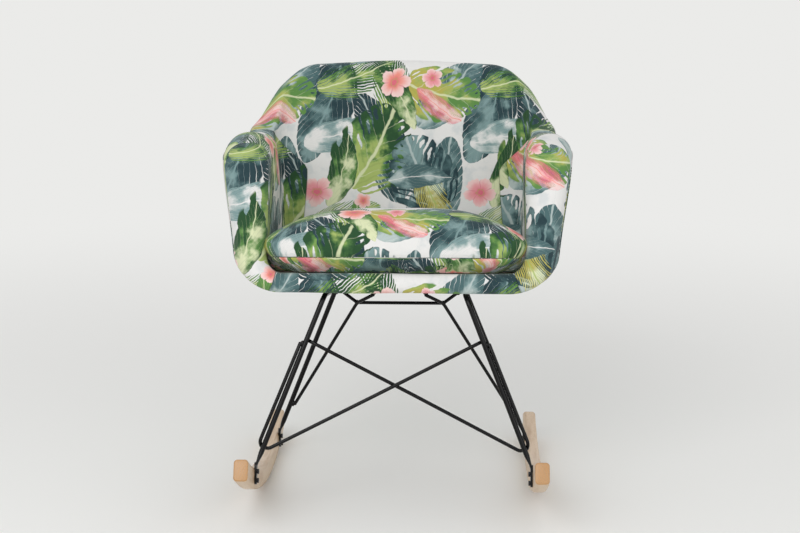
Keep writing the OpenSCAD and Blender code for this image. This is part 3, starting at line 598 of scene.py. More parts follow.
class Graph:
    """Short calls for the nodes of one tree. A socket or a plain value may be given wherever a value is meant."""

    def __init__(self, tree):
        self.tree = tree

    def feed(self, node, inputs):
        """Links sockets to a node's inputs, and sets plain values on them."""
        for key, value in inputs.items():
            if isinstance(value, bpy.types.NodeSocket):
                self.tree.links.new(value, node.inputs[key])
            elif value is not None:
                node.inputs[key].default_value = value

    def node(self, kind, inputs=(), **options):
        n = self.tree.nodes.new(kind)
        for key, value in options.items():
            setattr(n, key, value)
        self.feed(n, inputs if isinstance(inputs, dict) else dict(enumerate(inputs)))
        return n

    def math(self, operation, a, b=None, c=None):
        return self.node("ShaderNodeMath", (a, b, c), operation=operation).outputs[0]

    add, sub = partialmethod(math, "ADD"), partialmethod(math, "SUBTRACT")
    mul, div = partialmethod(math, "MULTIPLY"), partialmethod(math, "DIVIDE")
    mul_add = partialmethod(math, "MULTIPLY_ADD")
    pow, max = partialmethod(math, "POWER"), partialmethod(math, "MAXIMUM")
    abs, sine = partialmethod(math, "ABSOLUTE"), partialmethod(math, "SINE")

    def vector(self, operation, a, b=None, c=None):
        n = self.node("ShaderNodeVectorMath", (a, b, c), operation=operation)
        return n.outputs["Value" if operation in ("DOT_PRODUCT", "LENGTH") else "Vector"]

    def stretched(self, vector, *scale):
        return self.vector("MULTIPLY", vector, (*scale, 1.0))

    def mix(self, factor, a, b, blend="MIX"):
        n = self.node("ShaderNodeMix", data_type="RGBA", blend_type=blend)
        a, b = (value if isinstance(value, bpy.types.NodeSocket) else (*value[:3], 1) for value in (a, b))
        index = {socket.identifier: k for k, socket in enumerate(n.inputs)}
        self.feed(n, {index["Factor_Float"]: factor, index["A_Color"]: a, index["B_Color"]: b})
        return next(o for o in n.outputs if o.identifier == "Result_Color")

    def span(self, value, low, high):
        """0 below low, 1 above high, with a soft step between."""
        return self.node("ShaderNodeMapRange", (value, low, high), interpolation_type="SMOOTHSTEP",
                         clamp=False).outputs[0]

    def noise(self, vector, scale, detail=2.0, rough=0.5, dims="3D"):
        inputs = {"Vector": vector, "Scale": scale, "Detail": detail, "Roughness": rough}
        return self.node("ShaderNodeTexNoise", inputs, noise_dimensions=dims).outputs[0]

    def bump(self, height, strength, distance, normal=None):
        inputs = {"Height": height, "Strength": strength, "Distance": distance, "Normal": normal}
        return self.node("ShaderNodeBump", inputs).outputs[0]

    def cloth_place(self):
        return self.node("ShaderNodeUVMap", uv_map="cloth").outputs[0]

    def object_place(self):
        return self.node("ShaderNodeTexCoord").outputs["Object"]


def new_material(name):
    """A new material, the short calls for its nodes, and its shader."""
    material = bpy.data.materials.new(name)
    material.use_nodes = True
    return material, Graph(material.node_tree), material.node_tree.nodes["Principled BSDF"]


def group_sockets(tree, inputs, outputs):
    for name, kind, value in inputs:
        socket = tree.interface.new_socket(name, in_out="INPUT", socket_type=kind)
        if value is not None:
            socket.default_value = value
    for name, kind in outputs:
        tree.interface.new_socket(name, in_out="OUTPUT", socket_type=kind)
    return tree.nodes.new("NodeGroupInput").outputs, tree.nodes.new("NodeGroupOutput").inputs


F, V, C = "NodeSocketFloat", "NodeSocketVector", "NodeSocketColor"
MOTIF_INPUTS = [("Under", C, None), ("Place", V, None), ("Wash", F, 0.5), ("Middle", V, None), ("Along", V, None),
                ("Across", V, None)]


def motif_place(g, given, repeat):
    """The place on the cloth from the motif's middle, along it and across it, wrapped into one repeat."""
    half = tuple(r / 2 for r in repeat) + (1,)
    from_middle = g.vector("SUBTRACT", given["Place"], given["Middle"])
    local = g.vector("WRAP", from_middle, half, tuple(-h for h in half))
    return [g.vector("DOT_PRODUCT", local, given[way]) for way in ("Along", "Across")]


def leaf_group(repeat):
    """One painted leaf laid over what is under it. Along and Across are the leaf's ways, divided by its length
    and half width, so x runs 0 to 1 from stalk to tip and y is 1 at the widest edge."""
    tree = bpy.data.node_groups.new("painted_leaf", "ShaderNodeTree")
    given, out = group_sockets(tree, MOTIF_INPUTS + [
        ("Bend", F, 0.0), ("Veins", F, 8.0), ("Slant", F, 0.3), ("Cut", F, 0.0), ("Start", F, 0.2),
        ("Hole", F, 0.0), ("Full", F, 0.6), ("Fade", F, 0.0), ("Shade", C, None), ("Body", C, None),
        ("Light", C, None), ("Rib", C, None), ("Seed", F, 0.0)], [("Color", C)])
    g = Graph(tree)
    wash, cut = given["Wash"], given["Cut"]
    along, across = motif_place(g, given, repeat)
    x = g.add(along, 0.5)
    # the bent midrib, the leaf's width along it, and rho: 0 on the midrib, 1 on the edge
    arch = g.mul(g.mul(x, g.sub(1.0, x)), 4.0)
    y = g.mul_add(arch, given["Bend"], across)
    off_rib = g.abs(y)
    width = g.mul(g.pow(g.max(arch, 0.0), given["Full"]), g.mul_add(x, -0.35, 1.15))
    rho = g.div(off_rib, g.max(width, 0.001))
    # one cell between two veins, with a chance number of its own; to_vein is 0 in its middle and 1 on its veins
    side_seed = g.mul(g.math("SIGN", y), 17.3)
    cells = g.mul(g.sub(x, g.mul(off_rib, given["Slant"])), given["Veins"])
    wavy = g.mul_add(wash, 0.5, cells)
    across_cell = g.math("FRACT", wavy)
    cell = g.add(g.math("FLOOR", wavy), g.add(side_seed, given["Seed"]))
    chance = g.math("FRACT", g.mul(g.sine(g.mul(cell, 12.9898)), 437.585))
    centred = g.sub(across_cell, 0.5)
    to_vein = g.mul(g.abs(centred), 2.0)
    # cuts between the veins, and holes near the midrib
    wild = g.mul_add(g.mul(chance, chance), 0.8, 0.45)
    opened = g.max(g.div(g.sub(rho, given["Start"]), g.sub(1.0, given["Start"])), 0.0)
    gap = g.mul(g.mul(cut, wild), g.pow(opened, 0.7))
    notch = g.span(g.sub(g.add(to_vein, gap), 1.0), -0.03, 0.03)
    hole_x = g.div(centred, 0.17)
    hole_y = g.div(g.sub(rho, g.mul_add(chance, 0.2, 0.42)), 0.19)
    ring = g.add(g.mul(hole_x, hole_x), g.mul(hole_y, hole_y))
    hole_size = g.mul_add(given["Hole"], g.mul_add(chance, 0.8, 0.45), -0.15)
    hole = g.span(g.sub(hole_size, ring), -0.12, 0.12)
    lobe = g.mul(g.pow(to_vein, 3.0), g.mul(cut, 0.3))
    body = g.span(g.add(rho, lobe), 1.02, 0.97)
    mask = g.mul(body, g.mul(g.sub(1.0, notch), g.sub(1.0, hole)))
    # the paint: pools of three tones, a darker edge, pale veins with creases between them, and the midrib
    fade = g.mul(g.sub(x, 0.5), given["Fade"])
    pool = g.add(g.mul_add(wash, 1.7, fade), g.mul_add(rho, 0.3, -0.55))
    tone = g.mix(g.span(pool, 0.1, 0.5), given["Light"], given["Body"])
    for factor, name in (
        (g.span(g.mul_add(chance, 0.3, pool), 0.42, 0.85), "Shade"),
        (g.mul(g.span(rho, 0.84, 0.98), 0.5), "Shade"),
        (g.mul(g.span(to_vein, 0.9, 1.0), g.mul_add(rho, -0.2, 0.42)), "Rib"),
        (g.mul(g.span(to_vein, 0.3, 0.02), 0.13), "Shade"),
        (g.mul(g.span(off_rib, 0.05, 0.02), 0.85), "Rib"),
    ):
        tone = g.mix(factor, tone, given[name])
    tree.links.new(g.mix(mask, given["Under"], tone), out["Color"])
    return tree


def blossom_group(repeat):
    """One open blossom with ruffled petals laid over what is under it."""
    tree = bpy.data.node_groups.new("painted_blossom", "ShaderNodeTree")
    given, out = group_sockets(tree, MOTIF_INPUTS + [
        ("Petals", F, 5.0), ("Pale", C, None), ("Body", C, None), ("Deep", C, None), ("Stamen", C, None)],
        [("Color", C)])
    g = Graph(tree)
    wash = given["Wash"]
    x, y = motif_place(g, given, repeat)
    radius = g.math("SQRT", g.add(g.mul(x, x), g.mul(y, y)))
    turn = g.mul(g.math("ARCTAN2", y, x), g.mul(given["Petals"], 0.5))
    lobe = g.pow(g.abs(g.sine(turn)), 0.45)
    ruffle = g.mul(g.sine(g.mul(turn, 9.0)), 0.025)
    edge = g.add(g.mul_add(lobe, 0.42, 0.56), g.mul_add(wash, 0.16, ruffle))
    reach = g.div(radius, edge)
    streak = g.mul(g.abs(g.sine(g.mul(turn, 13.0))), g.span(reach, 1.0, 0.3))
    stamen_ring = g.span(g.abs(g.sub(reach, 0.24)), 0.07, 0.03)
    stamen_dots = g.span(g.sine(g.mul(turn, 7.0)), 0.1, 0.6)
    tone = given["Pale"]
    for factor, name in (
        (g.span(g.add(reach, g.mul_add(wash, 0.9, -0.45)), 1.0, 0.35), "Body"),
        (g.mul(g.span(lobe, 0.62, 0.2), 0.7), "Deep"),
        (g.mul(streak, 0.4), "Body"),
        (g.mul(g.span(reach, 0.5, 0.1), 0.9), "Deep"),
        (g.mul(stamen_ring, stamen_dots), "Stamen"),
    ):
        tone = g.mix(factor, tone, given[name])
    tree.links.new(g.mix(g.span(reach, 1.02, 0.96), given["Under"], tone), out["Color"])
    return tree


# Leaves of one repeat, from the lowest to the uppermost, in millimetres on the cloth: stalk x, stalk y, heading
# in degrees, length, half width, bend, veins, slant, cut, start of the cuts, hole, fullness, fade, palette
LEAVES = (
    (20, 20, 72, 262, 54, 0.22, 10, 0.5, 0.12, 0.6, 0.0, 0.55, 0.5, "slate"),
    (215, 450, 252, 250, 56, -0.2, 9, 0.5, 0.14, 0.55, 0.0, 0.6, -0.4, "night"),
    (345, 130, 112, 250, 50, 0.25, 11, 0.55, 0.2, 0.4, 0.0, 0.5, 0.5, "teal"),
    (140, 250, 8, 200, 36, -0.25, 10, 0.6, 0.12, 0.5, 0.0, 0.55, 0.4, "mist"),
    (95, 60, -8, 230, 44, 0.25, 11, 0.6, 0.3, 0.3, 0.0, 0.5, -0.5, "night"),
    (30, 290, 52, 215, 46, 0.2, 10, 0.5, 0.14, 0.5, 0.0, 0.55, 0.5, "slate"),
    (255, 320, -42, 180, 36, 0.2, 9, 0.5, 0.2, 0.4, 0.0, 0.55, -0.4, "teal"),
    (325, 300, 98, 190, 40, 0.25, 11, 0.7, 0.8, 0.08, 0.0, 0.5, 0.5, "fern"),
    (120, 25, 28, 205, 38, -0.3, 12, 0.8, 0.85, 0.06, 0.0, 0.5, 0.3, "palm"),
    (238, 158, 62, 196, 84, 0.1, 5, 0.5, 0.5, 0.34, 1.0, 0.4, 0.8, "monstera"),
    (86, 118, 118, 170, 74, -0.12, 5, 0.5, 0.5, 0.34, 1.1, 0.4, -0.6, "monstera_blue"),
    (5, 382, -12, 160, 64, 0.1, 5, 0.5, 0.5, 0.34, 1.0, 0.4, 0.7, "monstera_lime"),
    (190, 118, 74, 160, 30, 0.3, 8, 0.5, 0.0, 0.2, 0.0, 0.7, 0.6, "broad"),
    (288, 422, -58, 160, 28, -0.3, 8, 0.5, 0.0, 0.2, 0.0, 0.7, -0.6, "broad"),
    (40, 205, -64, 155, 34, 0.3, 11, 0.8, 0.9, 0.05, 0.0, 0.5, 0.4, "palm_olive"),
    (165, 372, 24, 180, 42, 0.25, 10, 0.7, 0.8, 0.08, 0.0, 0.5, 0.5, "fern"),
    (318, 172, 4, 135, 26, -0.3, 8, 0.5, 0.0, 0.2, 0.0, 0.75, 0.5, "broad_blue"),
    (236, 5, 84, 130, 24, 0.3, 8, 0.5, 0.0, 0.2, 0.0, 0.75, 0.5, "broad_lime"),
    (122, 300, 142, 120, 22, -0.25, 12, 1.2, 0.7, 0.2, 0.0, 0.6, 0.6, "plume"),
)
# Shade, body, light and rib colours of each palette
PALETTES = {
    "slate": ("teal", "slate", "mist", "mist"), "mist": ("slate", "mist", "ground", "ground"),
    "teal": ("night", "teal", "slate", "mist"), "night": ("night", "teal", "slate", "slate"),
    "fern": ("forest", "grass", "lime", "cream"), "palm": ("grass", "lime", "cream", "lime"),
    "palm_olive": ("olive", "olive", "cream", "lime"), "monstera": ("forest", "grass", "lime", "cream"),
    "monstera_blue": ("night", "teal", "slate", "mist"), "monstera_lime": ("grass", "lime", "olive", "cream"),
    "broad": ("forest", "grass", "cream", "cream"), "broad_blue": ("teal", "slate", "mist", "ground"),
    "broad_lime": ("grass", "lime", "cream", "cream"), "plume": ("magenta", "rose", "blush", "coral"),
}
# Blossoms: heart x, heart y, turn in degrees, radius across, radius along, petals, pale, body, deep
BLOSSOMS = (
    (165, 150, 20, 34, 30, 5, "blush", "rose", "magenta"),
    (330, 385, -35, 30, 33, 5, "blush", "coral", "magenta"),
    (60, 395, 70, 23, 20, 5, "blush", "rose", "magenta"),
    (265, 130, 10, 18, 17, 5, "blush", "coral", "magenta"),
)


def print_group(colours, cloth):
    """The whole repeat: a soft ground, then leaves and blossoms laid over each other."""
    tree = bpy.data.node_groups.new("botanical_print", "ShaderNodeTree")
    given, out = group_sockets(tree, [("Place", V, None)], [("Color", C)])
    g = Graph(tree)
    repeat = (cloth.repeat_x, cloth.repeat_y)
    place = given["Place"]
    ripple = g.node("ShaderNodeTexNoise", {"Vector": place, "Scale": 0.035, "Detail": 2.0},
                    noise_dimensions="2D").outputs["Color"]
    centred = g.vector("SUBTRACT", ripple, (0.5, 0.5, 0.5))
    rippled = g.vector("MULTIPLY_ADD", centred, (9.0, 9.0, 0.0), place)
    wash = g.noise(place, 0.024, 4.0, 0.52, "2D")
    tone = {key: (*getattr(colours, key), 1) for key in colours.__annotations__}
    laid = g.mix(g.span(wash, 0.5, 0.72), tone["ground"], tone["ground_shade"])

    def stamp(group, middle, heading, size, half, values):
        """Lays one motif over the cloth so far."""
        c, s = math.cos(heading), math.sin(heading)
        n = g.node("ShaderNodeGroup", node_tree=group)
        g.feed(n, {"Under": laid, "Place": rippled, "Wash": wash, "Middle": (*middle, 0),
                   "Along": (c / size, s / size, 0), "Across": (-s / half, c / half, 0),
                   **{key: tone.get(value, value) for key, value in values.items()}})
        return n.outputs[0]

    leaf, blossom = leaf_group(repeat), blossom_group(repeat)
    whole = 0.001  # a plain zero would be folded away, and its idle nodes would use up the shader's memory
    for k, row in enumerate(LEAVES):
        px, py, heading, size, half, bend, veins, slant, cut, start, hole, full, fade, palette = row
        heading = math.radians(heading)
        middle = (px + size / 2 * math.cos(heading), py + size / 2 * math.sin(heading))
        laid = stamp(leaf, middle, heading, size, half, {
            "Bend": bend, "Veins": veins, "Slant": slant, "Cut": cut or whole, "Start": start,
            "Hole": hole or whole, "Full": full, "Fade": fade, "Seed": k * 31.0,
            **dict(zip(("Shade", "Body", "Light", "Rib"), PALETTES[palette]))})
    for px, py, heading, size, half, petals, pale, body, deep in BLOSSOMS:
        laid = stamp(blossom, (px, py), math.radians(heading), size, half, {
            "Petals": petals, "Pale": pale, "Body": body, "Deep": deep, "Stamen": "olive"})
    tree.links.new(laid, out["Color"])
    return tree


ARM_SHIFT = (0.43, 0.29)  # shift of the print on the arms' panels, in repeats


def printed_cloth(name):
    """The printed cover: the print, a plain weave and soft unevenness, with a sunk seam whose groove, and the sewn
    cords on it, are darkened as painted shade.
    """
    material, g, shader = new_material(name)
    cloth = Sizes(settings().cloth)
    uv = g.cloth_place()
    past_seam = g.node("ShaderNodeAttribute", attribute_name="past_seam").outputs["Fac"]
    on_arm = g.math("GREATER_THAN", past_seam, float(SEAM_ZERO))
    # 1 within a few millimetres of a seam and on the sewn cords, 0 elsewhere: it sinks the seam in the bump and
    # marks where painted shade darkens the cloth
    seam_groove_and_shade = g.span(g.abs(g.sub(past_seam, float(SEAM_ZERO))), 2.4, 0.5)
    shift = g.node("ShaderNodeCombineXYZ", [g.mul(on_arm, part * repeat) for part, repeat in
                                            zip(ARM_SHIFT, (cloth.repeat_x, cloth.repeat_y))]).outputs[0]
    pattern = g.node("ShaderNodeGroup", node_tree=print_group(settings().colours, cloth))
    g.feed(pattern, {"Place": g.vector("ADD", uv, shift)})
    slub = g.noise(g.stretched(uv, 0.25, 3.0), 1.0, 3.0, 0.6, "2D")
    tone = g.mix(g.mul(slub, 0.10), pattern.outputs["Color"], (0.35, 0.36, 0.36), "MULTIPLY")
    # Painted shade: the cloth is darkened along the seam and over the whole sewn cords, as if shaded in the seam's
    # groove
    tone = g.mix(g.mul(seam_groove_and_shade, 0.5), tone, (0.3, 0.32, 0.31), "MULTIPLY")
    thread = g.node("ShaderNodeSeparateXYZ", (uv,)).outputs
    warp, weft = (g.sine(g.mul(thread[k], 2 * math.pi / cloth.thread)) for k in (0, 1))
    creases = g.noise(g.stretched(uv, 0.02, 0.011), 1.0, 4.0, 0.55, "2D")
    soft = g.bump(g.mul(seam_groove_and_shade, -1.0), 0.6, 0.0015, g.bump(creases, 0.5, 0.006))
    g.feed(shader, {"Base Color": tone, "Roughness": g.mul_add(slub, 0.16, 0.74),
                    "Normal": g.bump(g.mul(warp, weft), 0.25, 0.00025, soft),
                    "Specular IOR Level": 0.25, "Sheen Weight": 0.12, "Sheen Roughness": 0.5})
    return material


def black_lacquer(name):
    """Black lacquer with a fine orange peel and smears in its gloss."""
    material, g, shader = new_material(name)
    place = g.object_place()
    g.feed(shader, {"Base Color": (*settings().colours.steel_black, 1), "Specular IOR Level": 0.22,
                    "Roughness": g.mul_add(g.noise(place, 26.0, 3.0, 0.55), 0.14, 0.14),
                    "Normal": g.bump(g.noise(place, 420.0, 3.0, 0.6), 0.12, 0.0004)})
    return material


def varnished_beech(name, end_grain):
    """Beech with long grain and short dark flecks, or its sawn ends, under a satin varnish. The mesh's map runs
    along the bar and round it."""
    material, g, shader = new_material(name)
    c = settings().colours
    if end_grain:
        place = g.object_place()
        waves = {"Vector": place, "Scale": 70.0, "Distortion": 4.0, "Detail": 3.0, "Detail Scale": 1.5}
        rings = g.node("ShaderNodeTexWave", waves, wave_type="RINGS", rings_direction="Y").outputs[1]
        height = g.noise(place, 900.0, 2.0, 0.6)
        tone = g.mix(g.mul(rings, 0.55), c.wood_end, c.wood_dark)
        tone = g.mix(g.mul(g.span(height, 0.55, 0.7), 0.35), tone, (0.12, 0.06, 0.03))
    else:
        uv = g.cloth_place()
        height = g.noise(g.stretched(uv, 4.0, 26.0), 1.2, 5.0, 0.6, "2D")
        bands = g.noise(g.stretched(uv, 2.0, 7.0), 1.0, 2.0, 0.5, "2D")
        fleck = g.noise(g.stretched(uv, 160.0, 260.0), 1.0, 1.0, 0.5, "2D")
        tone = g.mix(g.span(height, 0.38, 0.72), c.wood, c.wood_dark)
        tone = g.mix(g.mul(g.span(bands, 0.35, 0.7), 0.45), tone, c.wood)
        tone = g.mix(g.mul(g.span(fleck, 0.6, 0.72), 0.4), tone, c.wood_dark)
    g.feed(shader, {"Base Color": tone, "Roughness": g.mul_add(height, 0.2, 0.32),
                    "Normal": g.bump(height, 0.15, 0.0006), "Coat Weight": 0.3, "Coat Roughness": 0.22})
    return material


def plain_finish(name, rgb, roughness, metallic, grain, depth):
    """A solid finish with fine grain in its tone, roughness and surface."""
    material, g, shader = new_material(name)
    noise = g.noise(g.object_place(), grain, 3.0, 0.6)
    g.feed(shader, {"Base Color": g.mix(g.mul(noise, 0.5), rgb, tuple(c * 0.6 for c in rgb)),
                    "Roughness": g.mul_add(noise, 0.2, roughness - 0.1),
                    "Normal": g.bump(noise, 0.3, depth), "Metallic": metallic})
    return material


def dust_cloth_finish(name):
    """Thin black felt."""
    material, g, shader = new_material(name)
    place = g.object_place()
    fibre = g.noise(place, 900.0, 2.0, 0.7)
    cells = g.node("ShaderNodeTexVoronoi", {"Vector": place, "Scale": 420.0}).outputs["Distance"]
    g.feed(shader, {"Base Color": g.mix(fibre, (0.012, 0.012, 0.013), (0.035, 0.035, 0.036)),
                    "Roughness": 0.95, "Normal": g.bump(g.add(fibre, cells), 0.5, 0.0005)})
    return material


def finish_of(name, maker, *values):
    """The finish of this name, made the first time that it is asked for."""
    return bpy.data.materials.get(name) or maker(name, *values)


def cloth_finish():
    return finish_of("leafy_cover", printed_cloth)


def lacquer():
    return finish_of("black_lacquer", black_lacquer)


# ---------------------------------------------------------------- base geometry from the same sizes as the solids


class BaseLayout:
    """The rods' paths on the right-hand side, in millimetres, for the chair standing level."""

    gap = 0.3
    cloth_thickness, plate_thickness = 0.8, 3

    def __init__(self):
        b = self.b = Sizes(settings().base)
        t = Sizes(settings().tub)
        self.tub = t
        g = self.gap
        tab_face = b.runner_spacing / 2 - b.runner_thickness / 2 + b.pocket_depth - g
        self.tab_middle = tab_face - b.tab_thickness / 2
        foot_x = self.tab_middle - b.tab_thickness / 2
        foot_h = b.tab_inset + b.tab_length + g
        plate_rise = -t.under_half_thick - 2 * g - self.cloth_thickness - self.plate_thickness / 2
        self.rail_rise = plate_rise - self.plate_thickness / 2 - g - b.leg_d / 2
        rail_x = b.rail_spacing / 2
        self.front_foot = self.on_runner(foot_x, -b.front_foot_angle, foot_h)
        self.rear_foot = self.on_runner(foot_x, b.rear_foot_angle, foot_h)
        self.rail_front = self.on_deck(rail_x, -b.rail_front, self.rail_rise)
        self.rail_rear = self.on_deck(rail_x, b.rail_rear, self.rail_rise)
        touch = b.leg_d / 2 + b.wire_d / 2 + g
        lap = touch + b.wire_d / 4
        line = unit(self.rail_front - self.front_foot)
        leg = np.linalg.norm(self.rail_front - self.front_foot)
        side = unit(np.array([line[2], 0, -line[0]]))
        front = unit(np.cross(line, side))
        loop = self.on_runner(foot_x, -b.front_foot_angle, b.loop_height)
        loop_on_leg = self.front_foot + line * ((loop - self.front_foot) @ line)
        self.joint = self.front_foot + line * leg * b.brace_share
        self.brace_start = mirrored(self.joint + front * lap)
        self.brace = {}
        for ahead in (1, -1):
            inner = loop_on_leg + front * lap - side * lap
            middle = (self.brace_start + inner) / 2 - np.array([0, ahead * b.wire_d * 0.8, 0])
            self.brace[ahead] = [
                self.brace_start, middle, inner,
                loop_on_leg + front * lap + side * b.wire_d / 2 - line * b.wire_d / 2,
                loop_on_leg + side * lap + line * b.wire_d,
                self.joint + side * touch - line * b.leg_d]
        tie_half = b.tie_width / 2
        tie_y = b.rail_rear - b.tie_drop / 2
        tie_end = self.on_deck(rail_x - b.leg_d / 2 - g - b.wire_d / 2, tie_y, self.rail_rise)
        tie_corner = self.on_deck(tie_half, tie_y, self.rail_rise - b.tie_drop)
        self.tie = [tie_end, tie_corner, mirrored(tie_corner), mirrored(tie_end)]
        rear_line = unit(self.rail_rear - self.rear_foot)
        rear_inner = unit(np.array([-rear_line[2], 0, rear_line[0]]))
        cross = self.on_deck(rail_x - b.leg_d / 2 - g, b.rail_rear / 2, self.rail_rise)
        self.cross = [mirrored(cross), cross]
        self.strut_foot = self.rear_foot + rear_line * b.strut_foot_rise + rear_inner * touch
        self.strut_corner = tie_corner - np.array([0, b.wire_d + g, 0])
        top = np.array([tie_half * b.strut_spread_share, cross[1], cross[2] - b.leg_d / 2 - b.wire_d / 2 - g])
        self.strut = [self.strut_foot, self.strut_corner, top]
        self.rear_line, self.rear_inner, self.line, self.side = rear_line, rear_inner, line, side

    def on_runner(self, x, turn, height):
        r = self.b.runner_radius - height
        return np.array([x, r * math.sin(turn), self.b.runner_radius - r * math.cos(turn)])

    def on_deck(self, x, y, rise):
        slope = self.tub.seat_slope
        run = (y + self.tub.seat_front) / math.cos(slope)
        return np.array([x, -self.tub.seat_front + run * math.cos(slope) + rise * math.sin(slope),
                         self.tub.seat_height - run * math.sin(slope) + rise * math.cos(slope)])


def mirrored(points):
    return np.asarray(points, float) * np.array([-1, 1, 1])


def mirrored_part(part):
    vertices, faces, uv = part
    return mirrored(vertices), [tuple(reversed(f)) for f in faces], uv


def steel_piece(name, node, parts, base):
    """Joins bars into one lacquered piece, which takes the place of a node if one is named."""
    vertices, faces, uv = joined(parts)
    piece = make_object(name, at_rest(vertices, base), faces, CHAIR, [lacquer()], uv)
    if node:
        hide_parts(node)


def sewn_cord(name, body, loop, radius, round_length, place):
    """A closed sewn edge along a loop. round_length is the cloth's length round it on the map, and place turns
    its points into metres at rest."""
    path = np.vstack([loop, loop[:1]])
    vertices, faces, uv = sweep(path, np.full((len(path), 2), radius), 8, round_ends=False)
    uv = [(along, turn * round_length) for along, turn in uv]
    piece = make_object(name, place(vertices), faces, body, [cloth_finish()], uv)
    # The cord lies on the seam, so the cover's finish darkens all of it with the seam's painted shade
    mark_seam(piece, np.zeros(len(vertices)))


@contextmanager
def edited_mesh(piece):
    """The piece's mesh, open for edits that are written back at the end."""
    bm = bmesh.new()
    bm.from_mesh(piece.data)
    yield bm
    bm.to_mesh(piece.data)
    bm.free()


# ---------------------------------------------------------------- operators


class CHAIR_OT_stage(bpy.types.Operator):
    """Makes the floor, the lamps and the camera at the photograph's angle"""

    bl_idname = "chair.stage"
    bl_label = "Stage"

    floor_reach = 60.0
    fade_start, fade_end = 0.7, 3.2  # distances between which the seen floor fades into the backdrop
    backdrop_strength = 0.9
    aim = (0, 0, 0.45)               # the lamps point here

    def execute(self, context):
        scene, stage = context.scene, settings().stage
        scene.view_settings.view_transform = "Standard"
        self.place_camera(scene, stage)
        self.make_floor(scene, (*settings().colours.floor, 1))
        self.light_world(scene, stage.world_light)
        for name, power, size, place in (
            ("key", stage.key_light, 2.4, (-1.3, -3.5, 2.7)),
            ("fill", stage.fill_light, 2.6, (1.9, -3.2, 1.8)),
            ("rear", stage.fill_light * 0.5, 2.5, (0.6, 3.0, 3.0)),
        ):
            lamp = bpy.data.lights.new(name, "AREA")
            lamp.energy, lamp.size = power, size
            lamp_object = bpy.data.objects.new(name, lamp)
            lamp_object.location = place
            way = Vector(self.aim) - Vector(place)
            lamp_object.rotation_euler = way.to_track_quat("-Z", "Y").to_euler()
            scene.collection.objects.link(lamp_object)
        return {"FINISHED"}

    @staticmethod
    def place_camera(scene, stage):
        camera = bpy.data.objects.new("camera", bpy.data.cameras.new("camera"))
        camera.data.lens = stage.lens
        camera.data.sensor_width = 36.0
        camera.location = stage.camera_place
        camera.rotation_euler = (math.pi / 2 - stage.camera_dip, 0, stage.camera_turn)
        scene.collection.objects.link(camera)
        scene.camera = camera

    def make_floor(self, scene, floor_colour):
        """A pale matt floor, which the camera sees fade into an even backdrop far from the chair."""
        floor = bpy.data.meshes.new("floor")
        r = self.floor_reach
        floor.from_pydata([(-r, -r, 0), (r, -r, 0), (r, r, 0), (-r, r, 0)], [], [(0, 1, 2, 3)])
        material, g, shader = new_material("pale_floor")
        g.feed(shader, {"Base Color": floor_colour, "Roughness": 0.9, "Specular IOR Level": 0.1})
        place = g.node("ShaderNodeSeparateXYZ", (g.node("ShaderNodeNewGeometry").outputs["Position"],)).outputs
        level = g.node("ShaderNodeCombineXYZ", (place[0], place[1], 0.0)).outputs[0]
        far = g.span(g.vector("LENGTH", level), self.fade_start, self.fade_end)
        seen_far = g.mul(far, g.node("ShaderNodeLightPath").outputs["Is Camera Ray"])
        glow = {"Color": floor_colour, "Strength": self.backdrop_strength}
        pale = g.node("ShaderNodeEmission", glow).outputs[0]
        mixed = g.node("ShaderNodeMixShader", (seen_far, shader.outputs[0], pale)).outputs[0]
        g.feed(g.tree.nodes["Material Output"], {"Surface": mixed})
        floor.materials.append(material)
        floor_object = bpy.data.objects.new("floor", floor)
        scene.collection.objects.link(floor_object)

    @staticmethod
    def light_world(scene, world_light):
        """Even light on the chair, and white where the backdrop is seen, also in gloss."""
        scene.world = world = scene.world or bpy.data.worlds.new("studio")
        world.use_nodes = True
        g = Graph(world.node_tree)
        path = g.node("ShaderNodeLightPath").outputs
        seen = g.max(path["Is Camera Ray"], g.max(path["Is Glossy Ray"], path["Is Transmission Ray"]))
        strength = g.node("ShaderNodeMix", data_type="FLOAT")
        g.feed(strength, {0: seen, 2: world_light, 3: 1.0})
        g.feed(world.node_tree.nodes["Background"], {"Color": (1, 1, 1, 1), "Strength": strength.outputs[0]})


